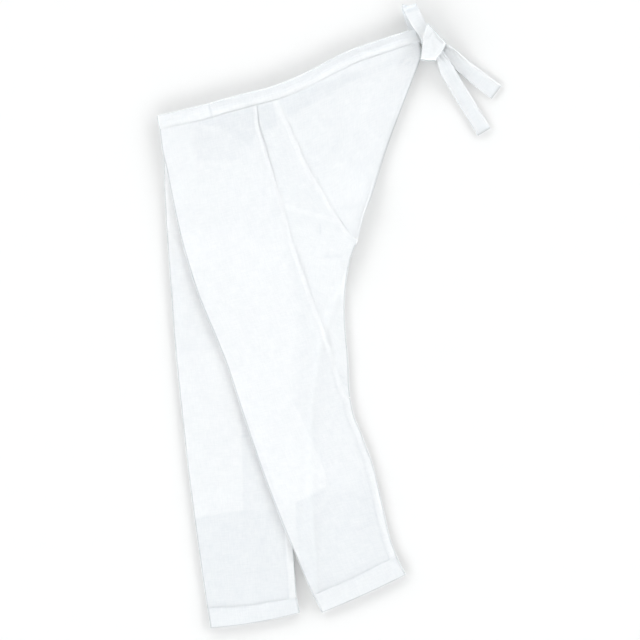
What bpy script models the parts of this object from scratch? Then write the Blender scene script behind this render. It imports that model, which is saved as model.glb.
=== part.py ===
"""A white cotton momohiki, the close-fitting trousers of a festival dress, laid flat on its side.

The two halves are mirror images that hang on one waistband. The under half lies on the
surface, and the over half lies on it, swung a little towards the back. Each half is a leg
panel folded round the front of the leg, a leaf-shaped thigh gusset folded round its back,
a small hip gusset, a wide back wrap with a loose edge, and a turned-up hem band. The
waistband runs along the over half, turns round at the front and runs back along the under
half. The ties at its two ends are knotted in a half bow at the back corner.

Tables and heights are in millimetres, X to the right, Y towards the waist, Z up. A piece of
cloth is the surface down the middle of its wall, with a normal at each point, and its two
faces lie half a wall to each side of that.
"""

import bmesh
import bpy
import numpy as np

MM = 0.001

# Driving dimensions
WALL = 1.0  # one layer of cloth
HEM_WALL = 1.4  # the hem, turned up and stitched
LAYER_GAP = 0.4  # between the two walls of a flattened leg
HALF_GAP = 0.4  # between the under half and the over half
SEAM_GAP = 0.3  # between two pieces that are sewn together
BAND_WIDTH = 26.0  # waistband and ties
BAND_THICKNESS = 2.6
TIE_THICKNESS = 1.8
RETURN_WIDTH = 14.0  # the front edge turned in above the crotch
CENTRE = (0.2, -1.4)  # middle of the laid-out garment in the drafting tables' frame

# Heights that follow from the layers
PITCH = WALL + LAYER_GAP
ONE_WALL_UP = WALL + HALF_GAP
UNDER_BAND_MIDDLE = BAND_THICKNESS / 2
OVER_BAND_MIDDLE = BAND_THICKNESS * 1.5 + HALF_GAP
WAIST_EDGE_MIDDLE = ONE_WALL_UP + 2 * PITCH + WALL / 2

# How the over half comes down off what lies under it
SUPPORT_MARGIN = 20.0
SUPPORT_FADE = 24.0
CROTCH_Y = 206.0
CROTCH_FADE = 45.0
WAIST_FADE = 40.0

# Stations down a half: waist to the gussets' corner, corner to the gusset's tip, tip to hem band
HIP_ROWS, THIGH_ROWS, SHIN_ROWS, HEM_ROWS = 8, 12, 14, 2
WRAP_LOW_ROWS = 3  # of the thigh rows, those beside the back wrap
LEG_COLUMNS, GUSSET_COLUMNS, HIP_GUSSET_COLUMNS, WRAP_COLUMNS = 14, 6, 3, 10
BAND_STATIONS = 48
UNDER_BAND_SHORT_BY = 2  # stations that the under stretch stops before the over one
TIE_STEPS = 3
TOP_BEND, HEM_BEND = 3, 6  # powers: how soon a panel's curved top and its sagging foot die out
FOLD_ANGLES = ((130.0, 155.0, 180.0, 205.0, 230.0),)
BAND_TURN_ANGLES = (30.0, 60.0, 90.0, 120.0, 150.0)
LIP_SHARES = ((0.55, 1.0),)  # where the points past a wall's end lie along its lip
STRAP_CORNER = 0.4  # what is taken off a strap's corners, as a share of half its thickness

# Lower edge of the waistband, from the front corner to the back corner
WAIST_EDGE = (
    # x, y
    (-304.2, 333.9),
    (-228.6, 351.5),
    (-156.6, 371.2),
    (-87.7, 389.5),
    (-28.1, 414.9),
    (38.5, 449.3),
    (95.9, 470.0),
    (162.5, 491.8),
)
LEG_SEAM_AT = 0.368  # share of the waist edge in front of the leg panel's seam
WRAP_SEAM_AT = 0.440  # share of it in front of the back wrap's seam

OVER = {
    "front": (
        # x, y: the fold down the front of the leg
        (-304.2, 333.9),
        (-299.7, 297.9),
        (-291.6, 261.9),
        (-285.3, 229.5),
        (-271.8, 164.7),
        (-261.0, 121.5),
        (-248.4, 78.3),
        (-234.0, 35.1),
        (-217.8, -4.5),
        (-198.0, -51.3),
        (-180.0, -98.1),
        (-160.2, -159.3),
        (-131.4, -245.7),
        (-108.0, -310.5),
        (-82.8, -375.3),
        (-64.8, -418.5),
        (-46.8, -461.7),
        (-28.3, -504.0),
    ),
    "leg_seam": (
        # x, y: below the waist edge, first to the gussets' corner, then to the tip
        (-125.1, 344.7),
        (-116.1, 315.9),
        (-97.2, 251.1),
        (-81.0, 198.9),
        (-64.8, 135.9),
        (-45.0, 78.3),
        (-32.4, 42.3),
        (-7.2, -26.1),
        (10.8, -80.1),
        (23.4, -123.3),
        (32.9, -146.7),
    ),
    "wrap_seam": (
        # x, y: below the waist edge, to the back edge
        (-74.3, 351.9),
        (-38.9, 273.1),
        (-8.3, 222.3),
        (23.4, 168.3),
        (44.5, 139.5),
    ),
    "loose_edge": (
        # x, y: the loose edge of the back wrap
        (162.5, 491.8),
        (166.5, 468.9),
        (161.1, 452.7),
        (135.9, 387.9),
        (101.7, 297.9),
        (72.9, 207.9),
        (64.8, 186.3),
        (52.2, 139.5),
    ),
    "back": (
        # x, y: from the wrap's tip down the back of the leg
        (51.3, 135.0),
        (37.8, 99.0),
        (30.6, 56.7),
        (27.9, 13.5),
        (29.7, -29.7),
        (34.2, -80.1),
        (36.9, -137.7),
        (45.0, -180.9),
        (55.8, -206.1),
        (66.6, -234.9),
        (78.3, -267.3),
        (89.1, -310.5),
        (99.0, -353.7),
        (108.9, -396.9),
        (121.9, -432.9),
    ),
    "hem": ((-12.6, -534.6), (138.6, -466.2)),
    "hem_sag": 2.0,
    "leg_columns": 14,
    "corner_on_leg_seam": 0.338,
    "corner_on_wrap_seam": 0.868,
    "front_at_corner": 0.225,
    "front_at_tip": 0.655,
}

UNDER = {
    "front": (
        (-303.3, 333.9),
        (-297.0, 272.7),
        (-296.1, 225.9),
        (-291.6, 143.1),
        (-284.4, 45.9),
        (-277.2, -51.3),
        (-266.4, -159.3),
        (-252.0, -288.9),
        (-237.6, -396.9),
        (-223.2, -497.7),
        (-218.7, -526.5),
    ),
    "leg_seam": (
        (-112.1, 318.4),
        (-99.5, 278.1),
        (-89.0, 233.1),
        (-81.0, 193.5),
        (-77.4, 135.9),
        (-77.4, 72.9),
        (-82.8, 9.9),
        (-86.4, -53.1),
        (-82.8, -112.5),
        (-72.0, -148.5),
    ),
    "wrap_seam": (
        (-74.3, 351.9),
        (-38.9, 273.1),
        (-8.3, 222.3),
        (20.0, 172.0),
        (37.0, 146.0),
    ),
    "loose_edge": (
        (161.0, 490.0),
        (166.0, 468.9),
        (161.5, 452.0),
        (136.6, 387.9),
        (103.3, 297.9),
        (74.5, 209.0),
        (45.0, 146.0),
    ),
    "back": (
        (42.0, 139.0),
        (34.2, 125.1),
        (10.8, 85.5),
        (-16.2, 45.9),
        (-37.8, -8.1),
        (-54.0, -71.1),
        (-65.0, -152.1),
        (-71.1, -242.1),
        (-68.4, -332.1),
        (-64.8, -404.1),
        (-61.2, -461.7),
        (-58.5, -506.7),
    ),
    "hem": ((-213.3, -562.5), (-52.2, -534.6)),
    "hem_sag": 4.0,
    "leg_columns": 6,
    "corner_on_leg_seam": 0.352,
    "corner_on_wrap_seam": 0.868,
    "front_at_corner": 0.215,
    "front_at_tip": 0.597,
}

# The under half's tie: from its band's end, up, over, down through the knot and out
UNDER_TIE = (
    # x, y, z, width
    (139.5, 498.3, 0.9, 24.0),
    (147.0, 501.5, 0.9, 22.0),
    (152.0, 508.5, 0.9, 20.0),
    (152.5, 518.0, 0.9, 21.0),
    (149.5, 530.0, 0.9, 23.0),
    (146.5, 541.0, 0.9, 25.0),
    (144.8, 550.0, 1.8, 26.0),
    (144.3, 555.5, 3.9, 26.0),
    (146.8, 550.5, 6.3, 26.0),
    (151.5, 541.0, 6.9, 26.0),
    (162.0, 523.0, 6.9, 23.0),
    (171.0, 508.0, 6.9, 17.0),
    (184.0, 487.0, 6.9, 15.0),
    (197.5, 469.5, 6.9, 12.0),
    (206.5, 453.5, 6.6, 16.0),
    (212.0, 440.5, 5.4, 26.0),
    (224.0, 421.0, 2.6, 26.0),
    (234.0, 404.5, 0.9, 26.0),
    (279.4, 330.3, 0.9, 26.0),
)
# The over half's tie: from its band's end through the knot and out
OVER_TIE = (
    # x, y, z, width
    (167.0, 501.0, 4.3, 18.0),
    (176.0, 496.0, 3.6, 17.0),
    (188.0, 487.5, 3.0, 15.0),
    (201.0, 478.0, 3.0, 17.0),
    (213.0, 469.0, 2.9, 23.0),
    (228.0, 457.5, 2.4, 27.0),
    (253.8, 438.0, 0.9, 28.0),
    (301.5, 401.5, 0.9, 29.0),
)
# The knot's turn of strap: where it folds, the direction across it there, and half its width
WRAP_FOLDS = (
    # x, y, across_x, across_y, half width
    (194.4, 503.5, 0.677, -0.736, 22.9),
    (181.0, 462.6, 0.997, -0.07, 14.0),
)
WRAP_TOP = 9.0
WRAP_BOTTOM = 0.9
WRAP_ARC_STEPS = 6
WRAP_RUN_STEPS = 5

CLOTH_COLOUR = (0.93, 0.95, 0.97)
BAND_COLOUR = (0.94, 0.95, 0.96)
COTTON_ROUGHNESS = 0.9
SHARP_ANGLE = 40.0


def eased(t):
    """0 below 0, 1 above 1, and a smooth rise between."""
    t = np.clip(t, 0.0, 1.0)
    return t * t * (3.0 - 2.0 * t)


def unit(vectors):
    return vectors / np.linalg.norm(vectors, axis=-1, keepdims=True)


def smooth_line(points, steps=16):
    """A dense line through the points: between two of them, a cubic with its neighbours' slope."""
    points = np.array(points, float)
    ends = np.vstack([2 * points[0] - points[1], points, 2 * points[-1] - points[-2]])
    slopes = (ends[2:] - ends[:-2]) / 2
    t = np.linspace(0, 1, steps, endpoint=False)[:, None]
    rise = 3 * t**2 - 2 * t**3
    line = [
        a * (1 - rise) + b * rise + m * (t**3 - 2 * t**2 + t) + n * (t**3 - t**2)
        for a, b, m, n in zip(points[:-1], points[1:], slopes[:-1], slopes[1:])
    ]
    return np.vstack([*line, points[-1:]])


def lengths_along(line):
    return np.concatenate([[0], np.cumsum(np.linalg.norm(np.diff(line, axis=0), axis=1))])


def along(line, start, end, count):
    """count + 1 points of a dense line, evenly spaced between two shares of its length."""
    lengths = lengths_along(line)
    at = np.linspace(start, end, count + 1) * lengths[-1]
    return np.stack([np.interp(at, lengths, line[:, k]) for k in range(line.shape[1])], axis=1)


def share_at_height(line, y):
    """The share of its length at which a line that runs down the garment passes y."""
    lengths = lengths_along(line)
    return float(np.interp(-y, -line[:, 1], lengths) / lengths[-1])


def edge_x(line, y):
    """The x of a line that runs down the garment, at each y."""
    return np.interp(-y, -line[:, 1], line[:, 0])


def chained(*stretches):
    """Stretches that meet end to end, as one row of points."""
    return np.vstack([stretches[0], *[stretch[1:] for stretch in stretches[1:]]])


class Half:
    """The edges and seams of one half, each a row of plan points that its neighbours share."""

    def __init__(self, table):
        waist = smooth_line(WAIST_EDGE)
        self.waist_leg = along(waist, 0, LEG_SEAM_AT, LEG_COLUMNS)
        self.waist_hip = along(waist, LEG_SEAM_AT, WRAP_SEAM_AT, HIP_GUSSET_COLUMNS)
        self.waist_wrap = along(waist, WRAP_SEAM_AT, 1, WRAP_COLUMNS)

        leg_seam = smooth_line([self.waist_leg[-1], *table["leg_seam"]])
        corner = table["corner_on_leg_seam"]
        self.leg_seam_hip = along(leg_seam, 0, corner, HIP_ROWS)
        self.leg_seam_thigh = along(leg_seam, corner, 1, THIGH_ROWS)

        wrap_seam = smooth_line([self.waist_hip[-1], *table["wrap_seam"]])
        meets = table["corner_on_wrap_seam"]
        self.wrap_seam_hip = along(wrap_seam, 0, meets, HIP_ROWS)
        wrap_seam_low = along(wrap_seam, meets, 1, WRAP_LOW_ROWS)
        self.wrap_seam = chained(self.wrap_seam_hip, wrap_seam_low)
        self.loose_edge = along(smooth_line(table["loose_edge"]), 0, 1, HIP_ROWS + WRAP_LOW_ROWS)

        back = smooth_line(table["back"])
        tip = share_at_height(back, leg_seam[-1][1])
        back_rows = THIGH_ROWS - WRAP_LOW_ROWS - 1
        self.gusset_back = np.vstack([wrap_seam_low, along(back, 0, tip, back_rows)])
        self.shin_back = along(back, tip, 1, SHIN_ROWS)
        self.back_line = np.vstack([smooth_line(table["loose_edge"]), back])

        self.front_line = smooth_line(table["front"])
        at_corner, at_tip = table["front_at_corner"], table["front_at_tip"]
        self.front = chained(
            along(self.front_line, 0, at_corner, HIP_ROWS),
            along(self.front_line, at_corner, at_tip, THIGH_ROWS),
            along(self.front_line, at_tip, 1, SHIN_ROWS),
        )
        self.hem = np.array(table["hem"])
        self.hem_sag = table["hem_sag"]
        self.columns = table["leg_columns"]


def beside_front(half, x, y):
    """1 over the turned-in front edge of a half, fading to 0 behind it."""
    behind = x - edge_x(half.front_line, y) - RETURN_WIDTH - SUPPORT_MARGIN
    return 1 - eased(behind / SUPPORT_FADE)


def in_leg(y):
    """1 below the crotch, where a half has two walls, fading to 0 above it."""
    return 1 - eased((y - CROTCH_Y) / CROTCH_FADE)


def near_waist(x, y):
    """1 along the waistband's lower edge, fading to 0 below it."""
    line = smooth_line(WAIST_EDGE)
    below = np.interp(x, line[:, 0], line[:, 1]) - y
    return 1 - eased(below / WAIST_FADE)


def support_height(under, x, y):
    """How high the over half's underside lies: on one or two walls of the under half, or 0."""
    beyond = x - edge_x(under.back_line, y) - SUPPORT_MARGIN
    on_it = 1 - eased(beyond / SUPPORT_FADE)
    doubled = np.maximum(in_leg(y), beside_front(under, x, y))
    return on_it * (ONE_WALL_UP + PITCH * doubled)


def under_walls(x, y):
    """Middle heights of the under half's outer wall, on the surface, and of its inner wall."""
    outer = np.full(np.shape(x), WALL / 2)
    return outer, outer + PITCH


def over_walls(over, under, x, y):
    """Middle heights of the over half's outer wall, on top, and of its inner wall."""
    inner = support_height(under, x, y) + WALL / 2
    outer = inner + PITCH * np.maximum(in_leg(y), beside_front(over, x, y))
    waist = near_waist(x, y)
    return outer * (1 - waist) + WAIST_EDGE_MIDDLE * waist, inner


def drawn_in(edge, amount=SEAM_GAP / 2):
    """A row of points with each end drawn in by this length."""
    edge = edge.copy()
    edge[0] += amount * unit(edge[1] - edge[0])
    edge[-1] += amount * unit(edge[-2] - edge[-1])
    return edge


class Ruled:
    """A plan that runs straight across from its left edge to its right edge at each station,
    and bends near its ends to follow a curved top and a sagging foot."""

    def __init__(self, left, right, top=None, sag=0.0):
        self.left, self.right = drawn_in(left), drawn_in(right)
        self.width = np.linalg.norm(self.right - self.left, axis=1)[:, None]
        self.across = (self.right - self.left) / self.width
        down = np.linspace(0, 1, len(left))[:, None]
        self.near_top, self.near_bottom = (1 - down) ** TOP_BEND, down**HEM_BEND
        self.bow = None
        if top is not None:
            share = np.linspace(0, 1, len(top))[:, None]
            self.bow = top - (top[0] * (1 - share) + top[-1] * share)
        self.sag = sag

    def place(self, distance):
        """Plan points at distances from the left edge, a row of them at each station."""
        share = distance / self.width
        plan = self.left[:, None] + self.across[:, None] * distance[..., None]
        if self.bow is not None:
            at = np.linspace(0, 1, len(self.bow))
            for k in (0, 1):
                plan[..., k] += self.near_top * np.interp(share, at, self.bow[:, k])
        plan[..., 1] -= self.near_bottom * self.sag * 4 * share * (1 - share)
        return plan


def flat_panel(ruled, columns, height):
    """The middle and the normals of one wall between two seams."""
    distance = SEAM_GAP / 2 + np.linspace(0, 1, columns + 1) * (ruled.width - SEAM_GAP)
    plan = ruled.place(distance)
    middle = np.dstack([plan, height(plan[..., 0], plan[..., 1])])
    normal = np.zeros_like(middle)
    normal[..., 2] = 1.0
    return middle, normal


def folded_panel(ruled, columns, reach, shut, walls, wall=WALL, pitch=PITCH):
    """The middle and the normals of a panel folded round its left edge: an outer wall that
    ends at the right edge, half a turn, and an inner wall that comes back by the share in
    reach. Where shut is 1 both walls curl towards each other and meet at the right edge."""
    radius = pitch / 2
    lip = radius * np.pi / 2 - SEAM_GAP / 2  # its length round the curl
    fold_at = radius + wall / 2
    ends_at = ruled.width - np.where(shut, fold_at, SEAM_GAP / 2 + lip)
    inner_ends_at = np.where(reach < 1, np.maximum(reach * ruled.width, RETURN_WIDTH), ends_at)
    share = np.linspace(0, 1, columns + 1)
    outer_at = ends_at + share * (fold_at - ends_at)
    inner_at = fold_at + share * (inner_ends_at - fold_at)

    def heights(distance, which):
        plan = ruled.place(distance)
        return walls(plan[..., 0], plan[..., 1])[which]

    def lip_points(start, height, side, curl):
        """Two points past a wall's end: flat, or curled round towards the other wall."""
        run = np.array(LIP_SHARES) * lip
        turned = np.where(curl, run / radius, 0.0)
        distance = start + np.where(curl, radius * np.sin(turned), run)
        drop = np.where(curl, radius * (1 - np.cos(turned)), 0.0)
        return distance, height - side * drop, np.sin(turned), side * np.cos(turned)

    outer_z, inner_z = heights(outer_at, 0), heights(inner_at, 1)
    side = np.sign(outer_z[:, -1:] - inner_z[:, :1])
    fold_middle = (outer_z[:, -1:] + inner_z[:, :1]) / 2
    angle = np.radians(FOLD_ANGLES)
    turn = (
        fold_at + radius * np.cos(angle) + 0 * fold_middle,
        fold_middle + side * radius * np.sin(angle),
        np.cos(angle) + 0 * fold_middle,
        side * np.sin(angle),
    )
    straight = np.zeros_like(outer_z)
    outer_lip = [part[:, ::-1] for part in lip_points(ends_at, outer_z[:, :1], side, shut)]
    inner_curl = shut * (reach >= 1)
    inner_lip = lip_points(inner_ends_at, inner_z[:, -1:], -side, inner_curl)
    parts = (
        outer_lip,
        (outer_at, outer_z, straight, straight + side),
        turn,
        (inner_at, inner_z, straight, straight - side),
        inner_lip,
    )
    distance, height, outwards, upwards = (
        np.concatenate([part[k] for part in parts], axis=1) for k in range(4)
    )
    plan = ruled.place(distance)
    across = np.broadcast_to(ruled.across[:, None], plan.shape)
    middle = np.dstack([plan, height])
    normal = np.dstack([across * outwards[..., None], upwards])
    return middle, normal


def grid_faces(rows, columns, wrap_rows=False, wrap_columns=False):
    """Four corner numbers for each cell of a grid of points."""
    row = np.arange(rows if wrap_rows else rows - 1)[:, None]
    column = np.arange(columns if wrap_columns else columns - 1)[None, :]
    next_row, next_column = (row + 1) % rows, (column + 1) % columns
    corners = [
        row * columns + column,
        row * columns + next_column,
        next_row * columns + next_column,
        next_row * columns + column,
    ]
    return np.stack(np.broadcast_arrays(*corners), axis=2).reshape(-1, 4)


def add_solid(name, points, faces, colour):
    """One closed solid, from points in millimetres in the drafting tables' frame."""
    points = (np.asarray(points) - (*CENTRE, 0.0)) * MM
    mesh = bpy.data.meshes.new(name)
    mesh.from_pydata(points.tolist(), [], faces)
    shape = bmesh.new()
    shape.from_mesh(mesh)
    bmesh.ops.recalc_face_normals(shape, faces=shape.faces)
    shape.to_mesh(mesh)
    shape.free()
    mesh.shade_smooth()
    mesh.set_sharp_from_angle(angle=np.radians(SHARP_ANGLE))
    material = bpy.data.materials.new(name)
    material.use_nodes = True
    shader = material.node_tree.nodes["Principled BSDF"]
    shader.inputs["Base Color"].default_value = (*colour, 1.0)
    shader.inputs["Roughness"].default_value = COTTON_ROUGHNESS
    shader.inputs["Metallic"].default_value = 0.0
    mesh.materials.append(material)
    garment.objects.link(bpy.data.objects.new(name, mesh))


def add_cloth(name, middle, normal, wall=WALL, colour=None, ring=False):
    """A wall of cloth round a grid of middle points. With ring its last column meets its first."""
    rows, columns = middle.shape[:2]
    skins = [(middle + side * wall / 2 * normal).reshape(-1, 3) for side in (1, -1)]
    count = rows * columns
    cells = grid_faces(rows, columns, wrap_columns=ring)
    faces = [*cells.tolist(), *(cells[:, ::-1] + count).tolist()]
    top, bottom = np.arange(columns), (rows - 1) * columns + np.arange(columns)
    rim = [top, bottom]
    if not ring:
        rim += [np.arange(rows) * columns, np.arange(rows) * columns + columns - 1]
    for edge in rim:
        pairs = zip(edge, np.roll(edge, -1)) if ring else zip(edge[:-1], edge[1:])
        faces += [[int(a), int(b), int(b + count), int(a + count)] for a, b in pairs]
    add_solid(name, np.vstack(skins), faces, colour or CLOTH_COLOUR)


def add_strap(name, middle, across, half_width, normal, thickness, closed=False):
    """A strap whose section is a flat bar with its corners taken off, at each station."""
    half = thickness / 2
    corner = half * STRAP_CORNER
    section = [
        (1, 0, -corner),
        (1, 0, corner),
        (1, -corner, half),
        (-1, corner, half),
        (-1, 0, corner),
        (-1, 0, -corner),
        (-1, corner, -half),
        (1, -corner, -half),
    ]
    points = np.stack(
        [
            middle + across * (side * half_width + inset)[:, None] + normal * height
            for side, inset, height in section
        ],
        axis=1,
    )
    rows, columns = points.shape[:2]
    faces = grid_faces(rows, columns, wrap_rows=closed, wrap_columns=True).tolist()
    if not closed:
        faces.append(list(range(columns)))
        faces.append(list(range((rows - 1) * columns, rows * columns))[::-1])
    add_solid(name, points.reshape(-1, 3), faces, BAND_COLOUR)


def carried_frames(path):
    """The across direction and the normal at each station of a path, carried along it so
    that the strap folds but doesn't twist. Across stays level."""
    tangent = unit(np.gradient(path, axis=0))
    level = np.array((1.0, 1.0, 0.0))
    across = [unit(np.cross(tangent[0], (0.0, 0.0, 1.0)))]
    for direction in tangent[1:]:
        across.append(unit(level * (across[-1] - direction * (across[-1] @ direction))))
    across = np.array(across)
    return across, unit(np.cross(across, tangent))


def add_half(prefix, half, walls):
    """The five sewn pieces of one half. walls gives the heights of its outer and inner wall."""
    seam = chained(half.leg_seam_hip, half.leg_seam_thigh, half.shin_back)
    stations = np.arange(len(seam))[:, None]
    reach = (stations >= HIP_ROWS).astype(float)
    shut = stations > HIP_ROWS + THIGH_ROWS
    leg = Ruled(half.front, seam, half.waist_leg, half.hem_sag)
    add_cloth(f"{prefix}_leg", *folded_panel(leg, half.columns, reach, shut, walls))

    def outer_height(x, y):
        return walls(x, y)[0]

    hip = Ruled(half.leg_seam_hip, half.wrap_seam_hip, half.waist_hip)
    add_cloth(f"{prefix}_hip_gusset", *flat_panel(hip, HIP_GUSSET_COLUMNS, outer_height))
    wrap = Ruled(half.wrap_seam, half.loose_edge, half.waist_wrap)
    add_cloth(f"{prefix}_back_wrap", *flat_panel(wrap, WRAP_COLUMNS, outer_height))

    thigh = Ruled(half.gusset_back, half.leg_seam_thigh)
    whole, open_seam = np.ones((THIGH_ROWS + 1, 1)), np.zeros((THIGH_ROWS + 1, 1), bool)
    gusset = folded_panel(thigh, GUSSET_COLUMNS, whole, open_seam, walls)
    add_cloth(f"{prefix}_thigh_gusset", *gusset)

    down = np.linspace(0, 1, HEM_ROWS + 1)[:, None]
    left = half.front[-1] * (1 - down) + half.hem[0] * down
    right = half.shin_back[-1] * (1 - down) + half.hem[1] * down
    hem = Ruled(left, right)
    hem.near_bottom, hem.sag = np.ones_like(down), half.hem_sag

    def hem_walls(x, y):
        low = np.minimum(*walls(x, y)) - WALL / 2 + HEM_WALL / 2
        heights = low, low + HEM_WALL + LAYER_GAP
        return heights if prefix == "under" else heights[::-1]

    every = np.ones_like(down)
    middle, normal = folded_panel(
        hem, half.columns, every, every > 0, hem_walls, HEM_WALL, HEM_WALL + LAYER_GAP
    )
    add_cloth(f"{prefix}_hem", middle, normal, HEM_WALL)


def add_waistband():
    """Back along the under half, half a turn round the front, and along the over half."""
    edge = along(smooth_line(WAIST_EDGE), 0, 1, BAND_STATIONS)
    tangent = unit(np.gradient(edge, axis=0))
    outwards = np.stack([-tangent[:, 1], tangent[:, 0]], axis=1)
    line = edge + outwards * (BAND_WIDTH + SEAM_GAP) / 2
    radius = (OVER_BAND_MIDDLE - UNDER_BAND_MIDDLE) / 2
    angle = np.radians(BAND_TURN_ANGLES)
    start = line[0] + tangent[0] * (radius + BAND_THICKNESS / 2)
    line[0] = start
    turn = np.column_stack([
        start - np.sin(angle)[:, None] * radius * tangent[0],
        (OVER_BAND_MIDDLE + UNDER_BAND_MIDDLE) / 2 - radius * np.cos(angle),
    ])
    short = line[:-UNDER_BAND_SHORT_BY]
    under = np.column_stack([short[::-1], np.full(len(short), UNDER_BAND_MIDDLE)])
    over = np.column_stack([line, np.full(len(line), OVER_BAND_MIDDLE)])
    path = np.vstack([under, turn, over])
    across, normal = carried_frames(path)
    half_width = np.full(len(path), BAND_WIDTH / 2)
    add_strap("waistband", path, across, half_width, normal, BAND_THICKNESS)


def add_tie(name, table):
    dense = smooth_line(table, TIE_STEPS)
    heights = [row[2] for row in table]
    dense[:, 2] = np.clip(dense[:, 2], min(heights), max(heights))
    across, normal = carried_frames(dense[:, :3])
    add_strap(name, dense[:, :3], across, dense[:, 3] / 2, normal, TIE_THICKNESS)


def add_knot():
    """One turn of strap round both ties: over the top, round a fold, beneath, and round a fold."""
    folds = np.array(WRAP_FOLDS)
    radius = (WRAP_TOP - WRAP_BOTTOM) / 2
    level = (WRAP_TOP + WRAP_BOTTOM) / 2
    run = unit(folds[1, :2] - folds[0, :2])
    share = np.linspace(0, 1, WRAP_RUN_STEPS + 1)
    angle = np.radians(np.linspace(0, 180, WRAP_ARC_STEPS + 1)[1:-1])
    # share of the way from the first fold to the second, distance past the fold, height, turn
    over = [(s, 0.0, WRAP_TOP, 90.0) for s in share]
    beneath = [(1 - s, 0.0, WRAP_BOTTOM, 270.0) for s in share]
    far = [(1.0, np.sin(a) * radius, level + radius * np.cos(a), 90 - np.degrees(a)) for a in angle]
    near = [(0.0, -np.sin(a) * radius, level - radius * np.cos(a), 270 - np.degrees(a)) for a in angle]
    stations = np.array(over + far + beneath + near)
    along_run, past, height, turned = stations.T[:, :, None]
    plan = folds[0, :2] * (1 - along_run) + folds[1, :2] * along_run + run * past
    middle = np.hstack([plan, height])
    across = unit(folds[0, 2:4] * (1 - along_run) + folds[1, 2:4] * along_run)
    half_width = (folds[0, 4] * (1 - along_run) + folds[1, 4] * along_run)[:, 0]
    turned = np.radians(turned)
    normal = np.hstack([run * np.cos(turned), np.sin(turned)])
    across = np.hstack([across, np.zeros_like(height)])
    add_strap("knot", middle, across, half_width, normal, TIE_THICKNESS, closed=True)


for leftover in list(bpy.data.objects):
    bpy.data.objects.remove(leftover)
garment = bpy.data.collections.new("Momohiki")
bpy.context.scene.collection.children.link(garment)

under_half, over_half = Half(UNDER), Half(OVER)
add_half("under", under_half, under_walls)
add_half("over", over_half, lambda x, y: over_walls(over_half, under_half, x, y))
add_waistband()
add_tie("under_tie", UNDER_TIE)
add_tie("over_tie", OVER_TIE)
add_knot()
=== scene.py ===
import bpy
import numpy as np
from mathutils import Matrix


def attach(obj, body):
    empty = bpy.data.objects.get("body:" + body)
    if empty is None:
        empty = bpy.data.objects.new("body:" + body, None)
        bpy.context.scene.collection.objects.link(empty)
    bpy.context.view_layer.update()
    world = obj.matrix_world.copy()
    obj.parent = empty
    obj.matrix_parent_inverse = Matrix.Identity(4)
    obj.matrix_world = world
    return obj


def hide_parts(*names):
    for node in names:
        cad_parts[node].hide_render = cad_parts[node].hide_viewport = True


# A thin white cotton momohiki laid flat on its side, seen from straight above.
# All drafting is in mm, X to the right, Y towards the waist, Z up, and goes to metres in makeMesh.

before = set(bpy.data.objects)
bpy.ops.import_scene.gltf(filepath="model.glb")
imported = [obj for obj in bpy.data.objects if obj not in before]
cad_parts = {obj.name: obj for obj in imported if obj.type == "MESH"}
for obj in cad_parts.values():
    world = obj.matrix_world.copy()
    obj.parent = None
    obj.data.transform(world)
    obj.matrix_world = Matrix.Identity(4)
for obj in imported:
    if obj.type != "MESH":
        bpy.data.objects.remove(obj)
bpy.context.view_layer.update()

garment = {
    "clothThickness": 0.6,
    "layerPitch": 1.4,  # from the middle of one wall of a flattened leg to the other
    "oneWallUp": 1.4,  # how high the over half's underside lies on one wall of the under half
    "seamGap": 0.2,  # the groove between two pieces that are sewn together
    "centre": (0.2, -1.4),  # the middle of the laid-out garment in the drafting tables
    "returnWidth": 14.0,  # the front edge turned in above the crotch
    "restMargin": 20.0,  # how far past the under half's edge the over half starts to come down
    "restFade": 24.0,
    "crotchY": 206.0,
    "crotchFade": 45.0,
    "waistFade": 40.0,
    "waistEdgeHeight": 4.5,
    "reliefFade": 6.0,  # creases fade out over this distance from a fold
}

waistEdge = (  # x, y: lower edge of the waistband, from the front corner to the back corner
    (-304.2, 333.9), (-228.6, 351.5), (-156.6, 371.2), (-87.7, 389.5), (-28.1, 414.9),
    (38.5, 449.3), (95.9, 470.0), (162.5, 491.8),
)
legSeamAt = 0.368  # share of the waist edge in front of the leg panel's seam
wrapSeamAt = 0.440  # share of it in front of the back wrap's seam

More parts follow.
